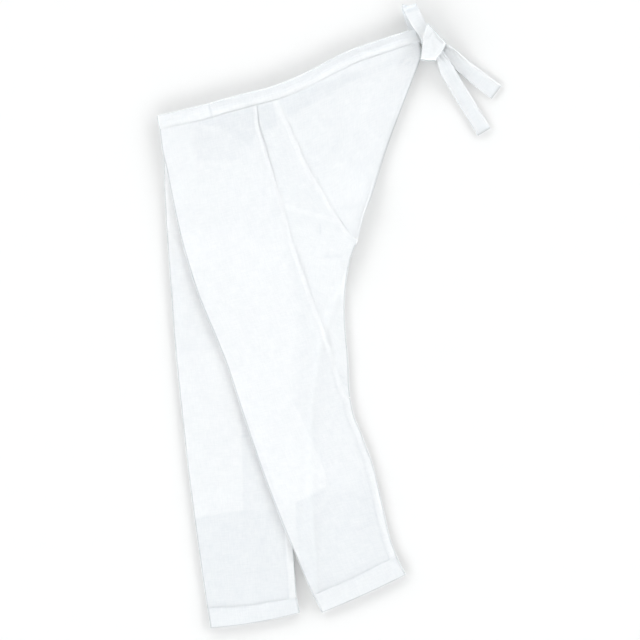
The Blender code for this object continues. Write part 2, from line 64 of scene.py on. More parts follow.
overHalf = {
    "front": (
        # x, y: the fold down the front of the leg
        (-304.2, 333.9), (-299.7, 297.9), (-291.6, 261.9), (-285.3, 229.5), (-271.8, 164.7),
        (-261.0, 121.5), (-248.4, 78.3), (-234.0, 35.1), (-217.8, -4.5), (-198.0, -51.3),
        (-180.0, -98.1), (-160.2, -159.3), (-131.4, -245.7), (-108.0, -310.5), (-82.8, -375.3),
        (-64.8, -418.5), (-46.8, -461.7), (-28.3, -504.0),
    ),
    "legSeam": (
        # x, y: below the waist edge, first to the gussets' corner, then to the tip
        (-125.1, 344.7), (-116.1, 315.9), (-97.2, 251.1), (-81.0, 198.9), (-64.8, 135.9),
        (-45.0, 78.3), (-32.4, 42.3), (-7.2, -26.1), (10.8, -80.1), (23.4, -123.3),
        (32.9, -146.7),
    ),
    "wrapSeam": (
        # x, y: below the waist edge, to the back edge
        (-74.3, 351.9), (-38.9, 273.1), (-8.3, 222.3), (23.4, 168.3), (44.5, 139.5),
    ),
    "looseEdge": (
        # x, y: the loose edge of the back wrap
        (162.5, 491.8), (166.5, 468.9), (161.1, 452.7), (135.9, 387.9), (101.7, 297.9),
        (72.9, 207.9), (64.8, 186.3), (52.2, 139.5),
    ),
    "back": (
        # x, y: from the wrap's tip down the back of the leg
        (51.3, 135.0), (37.8, 99.0), (30.6, 56.7), (27.9, 13.5), (29.7, -29.7), (34.2, -80.1),
        (36.9, -137.7), (45.0, -180.9), (55.8, -206.1), (66.6, -234.9), (78.3, -267.3),
        (89.1, -310.5), (99.0, -353.7), (108.9, -396.9), (121.9, -432.9),
    ),
    "hem": ((-12.6, -534.6), (138.6, -466.2)),
    "hemSag": 2.0,
    "cornerOnLegSeam": 0.338,
    "cornerOnWrapSeam": 0.868,
    "frontAtCorner": 0.225,
    "frontAtTip": 0.655,
}

underHalf = {
    "front": (
        (-303.3, 333.9), (-297.0, 272.7), (-296.1, 225.9), (-291.6, 143.1), (-284.4, 45.9),
        (-277.2, -51.3), (-266.4, -159.3), (-252.0, -288.9), (-237.6, -396.9), (-223.2, -497.7),
        (-218.7, -526.5),
    ),
    "legSeam": (
        (-112.1, 318.4), (-99.5, 278.1), (-89.0, 233.1), (-81.0, 193.5), (-77.4, 135.9),
        (-77.4, 72.9), (-82.8, 9.9), (-86.4, -53.1), (-82.8, -112.5), (-72.0, -148.5),
    ),
    "wrapSeam": (
        (-74.3, 351.9), (-38.9, 273.1), (-8.3, 222.3), (20.0, 172.0), (37.0, 146.0),
    ),
    "looseEdge": (
        (161.0, 490.0), (166.0, 468.9), (161.5, 452.0), (136.6, 387.9), (103.3, 297.9),
        (74.5, 209.0), (45.0, 146.0),
    ),
    "back": (
        (42.0, 139.0), (34.2, 125.1), (10.8, 85.5), (-16.2, 45.9), (-37.8, -8.1),
        (-54.0, -71.1), (-65.0, -152.1), (-71.1, -242.1), (-68.4, -332.1), (-64.8, -404.1),
        (-61.2, -461.7), (-58.5, -506.7),
    ),
    "hem": ((-213.3, -562.5), (-52.2, -534.6)),
    "hemSag": 4.0,
    "cornerOnLegSeam": 0.352,
    "cornerOnWrapSeam": 0.868,
    "frontAtCorner": 0.215,
    "frontAtTip": 0.597,
}


# The under half's tie: from its band's end, up, over, down through the knot and out
underTiePath = (
    # x, y, z, width
    (139.5, 498.3, 0.9, 24.0), (147.0, 501.5, 0.9, 22.0), (152.0, 508.5, 0.9, 20.0),
    (152.5, 518.0, 0.9, 21.0), (149.5, 530.0, 0.9, 23.0), (146.5, 541.0, 0.9, 25.0),
    (144.8, 550.0, 1.8, 26.0), (144.3, 555.5, 3.9, 26.0), (146.8, 550.5, 6.3, 26.0),
    (151.5, 541.0, 6.9, 26.0), (161.5, 523.0, 6.9, 25.0), (171.0, 508.0, 6.9, 23.0),
    (183.0, 486.5, 6.7, 23.0), (198.0, 467.5, 6.7, 19.0), (206.5, 453.5, 6.4, 22.0),
    (212.5, 440.5, 5.0, 26.0), (224.0, 421.0, 3.1, 26.0), (234.0, 404.5, 1.6, 26.0),
    (247.0, 383.3, 0.95, 26.0), (279.4, 330.3, 0.9, 26.0),
)
# The over half's tie: from its band's end through the knot and out
overTiePath = (
    # x, y, z, width
    (161.0, 503.5, 4.3, 23.0), (167.0, 500.0, 4.3, 22.0), (176.0, 494.0, 3.6, 22.0),
    (188.0, 486.5, 3.0, 18.0), (201.0, 482.0, 3.0, 18.0), (213.0, 474.0, 2.9, 23.0),
    (228.0, 460.0, 2.4, 27.0), (253.8, 438.0, 0.9, 28.0), (301.5, 401.5, 0.9, 29.0),
)
# The knot's turn of strap: where it folds, the direction across it there, and half its width
knotFolds = (
    # x, y, acrossX, acrossY, half width
    (192.6, 503.3, 0.677, -0.736, 24.4),
    (179.3, 462.6, 0.997, -0.07, 14.2),
)


def eased(t):
    # 0 below 0, 1 above 1, and 3t^2 - 2t^3 between
    t = np.clip(t, 0.0, 1.0)
    return t * t * (3.0 - 2.0 * t)


def bell(distance, width):
    # exp(-(distance / width)^2): 1 at the middle, falling off to both sides
    return np.exp(-((distance / width) ** 2))


def dent(distance, size):
    # a bell of this height and half width
    height, width = size
    return height * bell(distance, width)


def mixed(first, second, share):
    return first * (1 - share) + second * share


def unit(vectors):
    return vectors / np.linalg.norm(vectors, axis=-1, keepdims=True)


def smoothLine(points, steps=16):
    # through the points, each stretch a cubic: its slope at a point is half the step between the
    # points before and after
    points = np.array(points, float)
    ends = np.vstack([2 * points[0] - points[1], points, 2 * points[-1] - points[-2]])
    slopes = (ends[2:] - ends[:-2]) / 2
    t = np.linspace(0, 1, steps, endpoint=False)[:, None]
    rise = 3 * t**2 - 2 * t**3
    line = [
        mixed(a, b, rise) + m * (t**3 - 2 * t**2 + t) + n * (t**3 - t**2)
        for a, b, m, n in zip(points[:-1], points[1:], slopes[:-1], slopes[1:])
    ]
    return np.vstack([*line, points[-1:]])


def lengthsAlong(line):
    return np.concatenate([[0], np.cumsum(np.linalg.norm(np.diff(line, axis=0), axis=1))])


def gridLengths(points, axis):
    # the same for a grid of points, down its columns (axis 0) or across its rows (axis 1)
    step = np.linalg.norm(np.diff(points, axis=axis), axis=2)
    return np.insert(np.cumsum(step, axis=axis), 0, 0.0, axis=axis)


def along(line, start, end, count):
    # count + 1 points of a dense line, evenly spaced between two shares of its length
    lengths = lengthsAlong(line)
    at = np.linspace(start, end, count + 1) * lengths[-1]
    return np.stack([np.interp(at, lengths, line[:, k]) for k in range(line.shape[1])], axis=1)


def edgeX(line, y):
    # the x of a line that runs down the garment, at each y
    return np.interp(-y, -line[:, 1], line[:, 0])


def chained(*stretches):
    return np.vstack([stretches[0], *[stretch[1:] for stretch in stretches[1:]]])


# Grid steps down each stretch
rows = {"hip": 44, "low": 18, "thigh": 108, "shin": 112, "hem": 14}


def halfEdges(table):
    # every seam and fold of one half, as rows of plan points that the pieces on both sides share
    waist = smoothLine(waistEdge)
    edges = {
        "waistLeg": along(waist, 0, legSeamAt, 60),
        "waistHip": along(waist, legSeamAt, wrapSeamAt, 12),
        "waistWrap": along(waist, wrapSeamAt, 1, 60),
    }
    legSeam = smoothLine([edges["waistLeg"][-1], *table["legSeam"]])
    corner, meets = table["cornerOnLegSeam"], table["cornerOnWrapSeam"]
    edges["legSeamHip"] = along(legSeam, 0, corner, rows["hip"])
    edges["legSeamThigh"] = along(legSeam, corner, 1, rows["thigh"])
    wrapSeam = smoothLine([edges["waistHip"][-1], *table["wrapSeam"]])
    edges["wrapSeamHip"] = along(wrapSeam, 0, meets, rows["hip"])
    wrapSeamLow = along(wrapSeam, meets, 1, rows["low"])
    edges["wrapSeam"] = chained(edges["wrapSeamHip"], wrapSeamLow)
    looseEdge = smoothLine(table["looseEdge"])
    edges["looseEdge"] = along(looseEdge, 0, 1, rows["hip"] + rows["low"])
    back = smoothLine(table["back"])
    lengths = lengthsAlong(back)
    tip = float(np.interp(-legSeam[-1][1], -back[:, 1], lengths) / lengths[-1])
    backSteps = rows["thigh"] - rows["low"] - 1
    edges["gussetBack"] = np.vstack([wrapSeamLow, along(back, 0, tip, backSteps)])
    edges["shinBack"] = along(back, tip, 1, rows["shin"])
    edges["seam"] = chained(edges["legSeamHip"], edges["legSeamThigh"], edges["shinBack"])
    edges["backLine"] = np.vstack([looseEdge, back])
    front = smoothLine(table["front"])
    atCorner, atTip = table["frontAtCorner"], table["frontAtTip"]
    edges["frontLine"] = front
    edges["front"] = chained(
        along(front, 0, atCorner, rows["hip"]),
        along(front, atCorner, atTip, rows["thigh"]),
        along(front, atTip, 1, rows["shin"]),
    )
    edges["hem"], edges["hemSag"] = np.array(table["hem"]), table["hemSag"]
    return edges


underEdges, overEdges = halfEdges(underHalf), halfEdges(overHalf)
waistLine = smoothLine(waistEdge)


# Heights of the layers
def besideFront(edges, x, y):
    # 1 where the cloth turned in at the front makes two walls, fading to 0 behind it
    behind = x - edgeX(edges["frontLine"], y) - garment["returnWidth"] - garment["restMargin"]
    return 1 - eased(behind / garment["restFade"])


def inLeg(y):
    return 1 - eased((y - garment["crotchY"]) / garment["crotchFade"])


def belowWaist(x, y):
    return np.interp(x, waistLine[:, 0], waistLine[:, 1]) - y


def restHeight(x, y):
    # the over half's underside: on one or two walls of the under half, or down on the surface
    beyond = x - edgeX(underEdges["backLine"], y) - garment["restMargin"]
    doubled = np.maximum(inLeg(y), besideFront(underEdges, x, y))
    lifted = garment["oneWallUp"] + garment["layerPitch"] * doubled
    return (1 - eased(beyond / garment["restFade"])) * lifted


def underWalls(x, y):
    outer = np.full(np.shape(x), garment["clothThickness"] / 2)
    return outer, outer + garment["layerPitch"]


def overWalls(x, y):
    inner = restHeight(x, y) + garment["clothThickness"] / 2
    outer = inner + garment["layerPitch"] * np.maximum(inLeg(y), besideFront(overEdges, x, y))
    waist = 1 - eased(belowWaist(x, y) / garment["waistFade"])
    return mixed(outer, garment["waistEdgeHeight"], waist), inner


# Creases and soft folds, each a ridge or a trough along a short line
def creaseHeight(x, y, table):
    # sum of height * bell(distance from the line / width) * a taper that is 0 at the line's ends
    total = np.zeros(np.shape(x))
    for x0, y0, x1, y1, width, height in table:
        dx, dy = x1 - x0, y1 - y0
        length = np.hypot(dx, dy)
        t = ((x - x0) * dx + (y - y0) * dy) / length**2
        away = ((x - x0) * dy - (y - y0) * dx) / length
        taper = eased(np.minimum(t, 1 - t) * 3.0)
        total += height * bell(away, width) * taper
    return total


def slowWaves(x, y, seed):
    # cloth that isn't quite flat: five long waves of chance direction, 0 to 1
    chance = np.random.default_rng(seed)
    total = np.zeros(np.shape(x))
    for length in (210.0, 150.0, 95.0, 62.0, 41.0):
        angle, phase = chance.uniform(0, np.pi), chance.uniform(0, 2 * np.pi)
        run = x * np.cos(angle) + y * np.sin(angle)
        drift = 0.8 * np.sin((y * np.cos(angle) - x * np.sin(angle)) / length * 2.3 + phase)
        total += length / 210.0 * np.sin(2 * np.pi * run / length + phase + drift)
    return 0.5 + total / 5.0


# Where the cloth looks whiter or darker because of what lies inside or behind it, and where
# shade is painted on it
def zoneShare(x, y, corners, soft):
    # product over the sides of a convex outline, run anticlockwise, of the eased distance inside it
    share = np.ones(np.shape(x))
    for (x0, y0), (x1, y1) in zip(corners, np.roll(corners, -1, axis=0)):
        inside = ((x1 - x0) * (y - y0) - (y1 - y0) * (x - x0)) / np.hypot(x1 - x0, y1 - y0)
        share = share * eased(inside / soft + 0.5)
    return share


def clothShade(x, y, base, zones):
    shade = np.full(np.shape(x), float(base))
    for value, soft, corners in zones:
        share = zoneShare(x, y, np.array(corners, float), soft)
        shade = mixed(shade, value, share)
    return shade


class Ruled:
    # straight across from the left edge to the right edge at each station, bent near its ends
    # to follow a curved top and a sagging foot
    def __init__(self, left, right, top=None, sag=0.0, sagPower=6):
        gap = garment["seamGap"] / 2
        self.left, self.right = left.copy(), right.copy()
        for edge in (self.left, self.right):
            edge[0] += gap * unit(edge[1] - edge[0])
            edge[-1] += gap * unit(edge[-2] - edge[-1])
        self.width = np.linalg.norm(self.right - self.left, axis=1)[:, None]
        self.across = (self.right - self.left) / self.width
        down = np.linspace(0, 1, len(left))[:, None]
        self.nearTop, self.nearFoot = (1 - down) ** 3, down**sagPower
        self.down = lengthsAlong(self.left)[:, None]
        self.bow = None
        if top is not None:
            share = np.linspace(0, 1, len(top))[:, None]
            self.bow = top - mixed(top[0], top[-1], share)
        self.sag = sag

    def place(self, distance):
        share = distance / self.width
        plan = self.left[:, None] + self.across[:, None] * distance[..., None]
        if self.bow is not None:
            at = np.linspace(0, 1, len(self.bow))
            for k in (0, 1):
                plan[..., k] += self.nearTop * np.interp(share, at, self.bow[:, k])
        plan[..., 1] -= self.nearFoot * self.sag * 4 * share * (1 - share)
        return plan


def flatPanel(ruled, columns, height):
    # one wall: height(x, y, distance from the left edge, from the right edge, down) is its middle
    gap = garment["seamGap"]
    distance = gap / 2 + np.linspace(0, 1, columns + 1) * (ruled.width - gap)
    plan = ruled.place(distance)
    down = ruled.down + 0 * distance
    z = height(plan[..., 0], plan[..., 1], distance, ruled.width - distance, down)
    middle = np.dstack([plan, z])
    normal = np.zeros_like(middle)
    normal[..., 2] = 1.0
    return middle, normal


def foldedPanel(ruled, columns, reach, shut, walls, relief, wall=None, pitch=None, turnedIn=0.0):
    # an outer wall from the right edge to the fold, half a turn of radius pitch / 2, and an inner
    # wall back by the share in reach, or by turnedIn if that is more. Where shut is 1 both walls
    # curl up to each other at the end. columns holds how many each wall has
    wall, pitch = wall or garment["clothThickness"], pitch or garment["layerPitch"]
    radius = pitch / 2
    lip = radius * np.pi / 2 - garment["seamGap"] / 2
    foldAt = radius + wall / 2
    endsAt = ruled.width - np.where(shut, foldAt, garment["seamGap"] / 2 + lip)
    innerEndsAt = np.where(reach < 1, np.maximum(reach * ruled.width, turnedIn), endsAt)
    outerShare, innerShare = (np.linspace(0, 1, count + 1) for count in columns)
    outerAt = endsAt + outerShare * (foldAt - endsAt)
    innerAt = foldAt + innerShare * (innerEndsAt - foldAt)

    def heights(distance, which):
        plan = ruled.place(distance)
        base = walls(plan[..., 0], plan[..., 1])[which]
        inset = np.minimum(distance - foldAt, endsAt - distance)
        flat = eased((inset if which == 0 else distance - foldAt) / garment["reliefFade"])
        extra = relief(plan[..., 0], plan[..., 1], distance, ruled.width - distance, which)
        return base + extra * flat

    def lipPoints(start, height, side, curl):
        run = np.array([[0.25, 0.5, 0.75, 1.0]]) * lip
        turned = np.where(curl, run / radius, 0.0)
        distance = start + np.where(curl, radius * np.sin(turned), run)
        drop = np.where(curl, radius * (1 - np.cos(turned)), 0.0)
        return distance, height - side * drop, np.sin(turned), side * np.cos(turned)

    outerZ, innerZ = heights(outerAt, 0), heights(innerAt, 1)
    side = np.sign(outerZ[:, -1:] - innerZ[:, :1])
    foldMiddle = (outerZ[:, -1:] + innerZ[:, :1]) / 2
    angle = np.radians(np.linspace(90, 270, 11)[1:-1])[None]
    turn = (
        foldAt + radius * np.cos(angle) + 0 * foldMiddle,
        foldMiddle + side * radius * np.sin(angle),
        np.cos(angle) + 0 * foldMiddle,
        side * np.sin(angle),
    )
    outerFlat, innerFlat = np.zeros_like(outerZ), np.zeros_like(innerZ)
    outerLip = [part[:, ::-1] for part in lipPoints(endsAt, outerZ[:, :1], side, shut)]
    innerLip = lipPoints(innerEndsAt, innerZ[:, -1:], -side, shut * (reach >= 1))
    parts = (
        outerLip,
        (outerAt, outerZ, outerFlat, outerFlat + side),
        turn,
        (innerAt, innerZ, innerFlat, innerFlat - side),
        innerLip,
    )
    distance, height, outwards, upwards = (
        np.concatenate([part[k] for part in parts], axis=1) for k in range(4)
    )
    plan = ruled.place(distance)
    across = np.broadcast_to(ruled.across[:, None], plan.shape)
    middle = np.dstack([plan, height])
    normal = np.dstack([across * outwards[..., None], upwards])
    return middle, normal


# Meshes
def gridCells(rowCount, columnCount, wrapRows=False, wrapColumns=False):
    # corner numbers of each cell, and the same corners in a sheet that isn't wrapped, for its UVs
    row = np.arange(rowCount if wrapRows else rowCount - 1)[:, None]
    column = np.arange(columnCount if wrapColumns else columnCount - 1)[None, :]
    corners = [(row, column), (row, column + 1), (row + 1, column + 1), (row + 1, column)]
    cells = [(r % rowCount) * columnCount + c % columnCount for r, c in corners]
    spread = [np.broadcast_arrays(r, c) for r, c in corners]
    cells = np.stack(np.broadcast_arrays(*cells), axis=2).reshape(-1, 4)
    unwrapped = np.stack([np.stack([r, c], axis=2) for r, c in spread], axis=2).reshape(-1, 4, 2)
    return cells, unwrapped


def enclosed(points, faces):
    # six times the signed volume, a quad as two triangles
    a, b, c, d = (points[faces[:, k]] for k in range(4))
    first = (np.cross(b - a, c - a) * (a + b + c)).sum()
    return first + (np.cross(c - a, d - a) * (a + c + d)).sum()


# Painted shade on the cloth's edges, from 0 to 1: grey where the surface turns upright, beside
# a fold, and at a cut end
edgeShadeTone = {
    "levelFrom": 0.97,  # the height of the surface's direction where the grey starts
    "levelOver": 0.45,
    "foldReach": (1.4, 1.8),  # full to 0.7 mm from a fold, and gone at 2.5 mm
    "besideFold": 0.5,
    "freeEdge": 0.6,
    "seamFade": 6.0,
    "gussetTop": 132.0,  # above this the thigh gusset ends in a seam and not in an edge
}


def turnedShare(level):
    # grows from 0 to 1 as the surface turns from level to upright
    return eased((edgeShadeTone["levelFrom"] - np.abs(level)) / edgeShadeTone["levelOver"])


def addObject(name, data):
    thing = bpy.data.objects.new(name, data)
    bpy.context.scene.collection.objects.link(thing)
    return thing


def makeMesh(
    name, points, faces, faceUvs, material, shade, edge=None, edgeShare=0.0, drawnEdge=0.0
):
    # mm to metres, faces outwards, UVs in metres of cloth. The shade, which holds painted shade
    # too, and the painted shade of the edges are point attributes. Where no edge is given, that
    # painted shade follows the direction of the surface
    points = np.asarray(points, float) - (*garment["centre"], 0.0)
    if enclosed(points, faces) < 0:
        faces, faceUvs = faces[:, ::-1], faceUvs[:, ::-1]
    mesh = bpy.data.meshes.new(name)
    mesh.vertices.add(len(points))
    mesh.vertices.foreach_set("co", (points * 0.001).ravel())
    mesh.loops.add(faces.size)
    mesh.loops.foreach_set("vertex_index", faces.ravel().astype(np.int32))
    mesh.polygons.add(len(faces))
    mesh.polygons.foreach_set("loop_start", np.arange(len(faces), dtype=np.int32) * 4)
    mesh.update(calc_edges=True)
    uvLayer = mesh.uv_layers.new(name="cloth")
    uvLayer.data.foreach_set("uv", (faceUvs * 0.001).ravel())
    mesh.shade_smooth()
    if edge is None:
        normals = np.empty(len(points) * 3, np.float32)
        mesh.vertex_normals.foreach_get("vector", normals)
        edge = np.clip(turnedShare(normals[2::3]) * edgeShare + drawnEdge, 0, 1)
    for attribute, values in (("shade", shade), ("edge", edge)):
        layer = mesh.attributes.new(attribute, "FLOAT", "POINT")
        layer.data.foreach_set("value", np.asarray(values, np.float32).ravel())
    mesh.set_sharp_from_angle(angle=np.radians(50))
    mesh.materials.append(material)
    piece = addObject(name, mesh)
    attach(piece, "root")
    return piece


def clothUv(points, normal):
    # how far each point lies across and down the cloth, measured on it
    across, down = gridLengths(points, 1), gridLengths(points, 0)
    upright = np.abs(normal[..., 2]).max(axis=0)
    if upright.min() < 0.5:  # the front fold is the column that is upright in every row
        column = np.argmin(upright)
        return across - across[:, column : column + 1], down
    return across - across.mean(axis=1, keepdims=True), down


def clothEdgeShade(middle, normal, across, freeEdge, edgeBelow):
    # the painted shade grows where the cloth turns upright, beside a fold, and at a cut end
    level = np.abs(normal[..., 2])
    edge = turnedShare(level)
    near, reach = edgeShadeTone["foldReach"]
    for column in np.flatnonzero((level < 0.5).mean(axis=0) > 0.3):
        fromFold = np.abs(across - across[:, column : column + 1])
        nearness = eased(near - fromFold / reach) * (level[:, column : column + 1] < 0.5)
        edge = np.maximum(edge, edgeShadeTone["besideFold"] * nearness)
    if freeEdge is not None:
        edge[freeEdge] = edgeShadeTone["freeEdge"]
    return edge * eased((edgeBelow - middle[..., 1]) / edgeShadeTone["seamFade"])


def clothPiece(node, middle, normal, wall, shade, grain, freeEdge, edgeBelow):
    # a wall of cloth: its two faces lie half its thickness to each side of the middle surface
    rowCount, columnCount = middle.shape[:2]
    count = rowCount * columnCount
    across, down = clothUv(middle, normal)
    uv = np.stack([across, down], axis=2).reshape(-1, 2)
    if grain:  # the threads run straight through the piece, in this direction
        turned = np.array([[-grain[1], grain[0]], [grain[0], grain[1]]])
        uv = middle[..., :2].reshape(-1, 2) @ turned
    cells = gridCells(rowCount, columnCount)[0]
    rims = []
    numbers = np.arange(count).reshape(rowCount, columnCount)
    for rim in (numbers[0, ::-1], numbers[-1], numbers[:, 0], numbers[::-1, -1]):
        rims.append(np.stack([rim[:-1], rim[1:], rim[1:] + count, rim[:-1] + count], axis=1))
    faces = np.vstack([cells, cells[:, ::-1] + count, *rims])
    points = np.vstack([(middle + side * wall / 2 * normal).reshape(-1, 3) for side in (1, -1)])
    edge = clothEdgeShade(middle, normal, across, freeEdge, edgeBelow)
    shade, edge = np.tile(shade.ravel(), 2), np.tile(edge.ravel(), 2)
    piece = makeMesh(f"{node}_cloth", points, faces, uv[faces % count], clothCotton, shade, edge)
    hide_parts(node)
    return piece


# Straps: a flat bar of cloth with round edges, carried along a path
def carriedFrames(path):
    # across stays level and is carried along the path, the normal is square to it and the path
    tangent = unit(np.gradient(path, axis=0))
    level = np.array((1.0, 1.0, 0.0))
    across = [unit(np.cross(tangent[0], (0.0, 0.0, 1.0)))]
    for direction in tangent[1:]:
        across.append(unit(level * (across[-1] - direction * (across[-1] @ direction))))
    across = np.array(across)
    return across, unit(np.cross(across, tangent))


def ringOf(upper, lower):
    # once round a strap: across its upper skin and back across its lower one
    return np.concatenate([upper, lower[:, ::-1]], axis=1)


def evenEdge(run, share):
    return 1.0


def noneDrawn(x, y):
    return 0.0


def strapPiece(
    node, path, across, normal, halfWidth, thickness, relief, shade,
    closed=False, edgeShare=evenEdge, drawnEdge=noneDrawn,
):
    # point = path + across * a + normal * h, with (a, h) on a bar whose two edges are half circles.
    # relief(length along, share across, face) is added to h, where face is 1 above and -1 below.
    # edgeShare says how much of the edge's painted shade shows, and drawnEdge adds painted shade to
    # it on the upper face
    halfThick = thickness / 2
    edge = np.radians([18.0, 54.0])
    faceShare = np.linspace(-1, 1, 25)
    a = np.concatenate([-np.cos(edge), 0 * faceShare, np.cos(edge[::-1])]) * halfThick
    widthShare = np.concatenate([[-1, -1], faceShare, [1, 1]])
    h = np.concatenate([np.sin(edge), 0 * faceShare + 1, np.sin(edge[::-1])]) * halfThick
    run = lengthsAlong(path)[:, None]
    sideways = a + widthShare * (halfWidth[:, None] - halfThick)
    flat = 0 * sideways
    skins, tones = [], []
    for face in (1, -1):
        lift = (face * h + relief(run + flat, widthShare + flat, face))[..., None]
        skin = path[:, None] + across[:, None] * sideways[..., None] + normal[:, None] * lift
        skins.append(skin)
        tones.append(shade(run, widthShare, face, skin[..., 0], skin[..., 1]) + flat)
    points = ringOf(*skins)
    rowCount, columnCount = points.shape[:2]
    faces, unwrapped = gridCells(rowCount, columnCount, wrapRows=closed, wrapColumns=True)
    ringStep = np.diff(np.concatenate([points, points[:, :1]], axis=1), axis=1)
    aroundRing = np.linalg.norm(ringStep, axis=2).mean(axis=0)
    aroundRing = np.concatenate([[0], np.cumsum(aroundRing)])
    runEnd = np.append(run[:, 0], run[-1, 0] + np.linalg.norm(path[0] - path[-1]))
    faceUvs = np.stack([aroundRing[unwrapped[..., 1]], runEnd[unwrapped[..., 0]]], axis=2)
    if not closed:
        top = np.arange(columnCount // 2)
        bottom = columnCount - 1 - top
        cap = np.stack([top[:-1], top[1:], bottom[1:], bottom[:-1]], axis=1)
        caps = np.vstack([cap[:, ::-1], cap + (rowCount - 1) * columnCount])
        faces = np.vstack([faces, caps])
        capUv = np.stack([aroundRing[caps % columnCount], runEnd[caps // columnCount]], axis=2)
        faceUvs = np.concatenate([faceUvs, capUv])
    edges = edgeShare(run, widthShare) + flat
    drawn = drawnEdge(skins[0][..., 0], skins[0][..., 1]) + flat
    piece = makeMesh(
        f"{node}_cloth", points.reshape(-1, 3), faces, faceUvs, bandCotton, ringOf(*tones),
        edgeShare=ringOf(edges, edges).ravel(), drawnEdge=ringOf(drawn, flat).ravel(),
    )
    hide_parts(node)
    return piece, points, float(run[-1, 0])


# Stitches: small bars of thread, one after the other along a line on the cloth
thread = {
    "pitch": 3.2,  # from one stitch to the next
    "length": 2.3,
    "radius": 0.22,
}


def stitchRow(lines):
    # centre k = point at k * pitch of each line, axis = the line's direction there, and the bar is
    # an ellipsoid of 5 rings by 6 points with its lower half in the cloth
    centres, axes = [], []
    for line in lines:
        at = lengthsAlong(line)
        places = np.arange(thread["pitch"], at[-1] - thread["pitch"], thread["pitch"])
        here, ahead = (
            np.stack([np.interp(places + step, at, line[:, k]) for k in range(3)], axis=1)
            for step in (0.0, 1.0)
        )
        centres.append(here)
        axes.append(unit(ahead - here))
    centres, axes = np.vstack(centres), np.vstack(axes)
    side = unit(np.cross(axes, (0.0, 0.0, 1.0)))
    up = np.cross(side, axes)
    ringAngle = np.radians([12.0, 50.0, 90.0, 130.0, 168.0])
    turn = np.radians(np.arange(0, 360, 60))
    alongAxis = -np.cos(ringAngle)[:, None] * thread["length"] / 2 + 0 * turn
    outwards = np.sin(ringAngle)[:, None] * thread["radius"]
    x, z = outwards * np.cos(turn), outwards * np.sin(turn)
    points = centres[:, None, None] + sum(
        direction[:, None, None] * amount[None, ..., None]
        for direction, amount in ((axes, alongAxis), (side, x), (up, z))
    )
    ringCount, aroundCount = x.shape
    one = gridCells(ringCount, aroundCount, wrapColumns=True)[0]
    last = (ringCount - 1) * aroundCount
    ends = np.array([[3, 2, 1, 0], [5, 4, 3, 0], [0, 1, 2, 3], [0, 3, 4, 5]])
    one = np.vstack([one, ends + [[0], [0], [last], [last]]])
    offset = np.arange(len(centres))[:, None, None] * ringCount * aroundCount
    return points.reshape(-1, 3), (one[None] + offset).reshape(-1, 4)


def stitchPiece(name, lines):
    points, faces = stitchRow(lines)
    faceUvs = np.zeros((len(faces), 4, 2))
    piece = makeMesh(name, points, faces, faceUvs, sewingThread, np.zeros(len(points)))


# Materials
def hexColour(text):
    # sRGB hex to linear: ((c + 0.055) / 1.055) ^ 2.4, or c / 12.92 in the darkest part
    parts = [int(text[k : k + 2], 16) / 255 for k in (1, 3, 5)]
    return (*[c / 12.92 if c <= 0.04045 else ((c + 0.055) / 1.055) ** 2.4 for c in parts], 1.0)


def addNode(tree, kind, inputs=None, **settings):
    # one node with its settings, and for each socket its value or what feeds it
    node = tree.nodes.new(kind)
    for key, value in settings.items():
        setattr(node, key, value)
    for key, source in (inputs or {}).items():
        if isinstance(source, bpy.types.NodeSocket):
            tree.links.new(source, node.inputs[key])
        else:
            node.inputs[key].default_value = source
    return node


def maths(tree, operation, *sources):
    inputs = dict(enumerate(sources))
    return addNode(tree, "ShaderNodeMath", inputs, operation=operation).outputs[0]


def newMaterial(name, surface):
    material = bpy.data.materials.new(name)
    material.use_nodes = True
    shader = material.node_tree.nodes["Principled BSDF"]
    for socket, value in surface.items():
        shader.inputs[socket].default_value = value
    return material, material.node_tree, shader


cotton = {
    "lit": "#E9ECEE",  # bleached cotton, faintly blue
    # the shade attribute mixes the lit colour towards this one, for single cloth and for painted
    # shade
    "shaded": "#E1E5E8",
    # painted shade: this grey is mixed in where the cloth turns over an edge
    "edge": "#989D9F",  # how grey the cloth looks where it turns over an edge
    "threadSpacing": 0.9,  # mm; the real 0.5 mm is too fine to show
    "bandThreadSpacing": 0.8,
    "sewingThreadSpacing": 0.3,
    "weaveDepth": 0.10,
    "slubDepth": 0.5,
    "slubStretch": ((60.0, 450.0, 1.0), (450.0, 60.0, 1.0)),  # threads along and across the cloth
    "threadTone": 0.45,  # how much the thicker threads show in the colour
    "cloudTone": 0.2,  # and how much soft uneven patches do
    "surface": {
        "Roughness": 0.88,
        "IOR": 1.46,
        "Metallic": 0.0,
        "Specular IOR Level": 0.25,
        "Sheen Weight": 0.08,
        "Sheen Roughness": 0.6,
    },
}


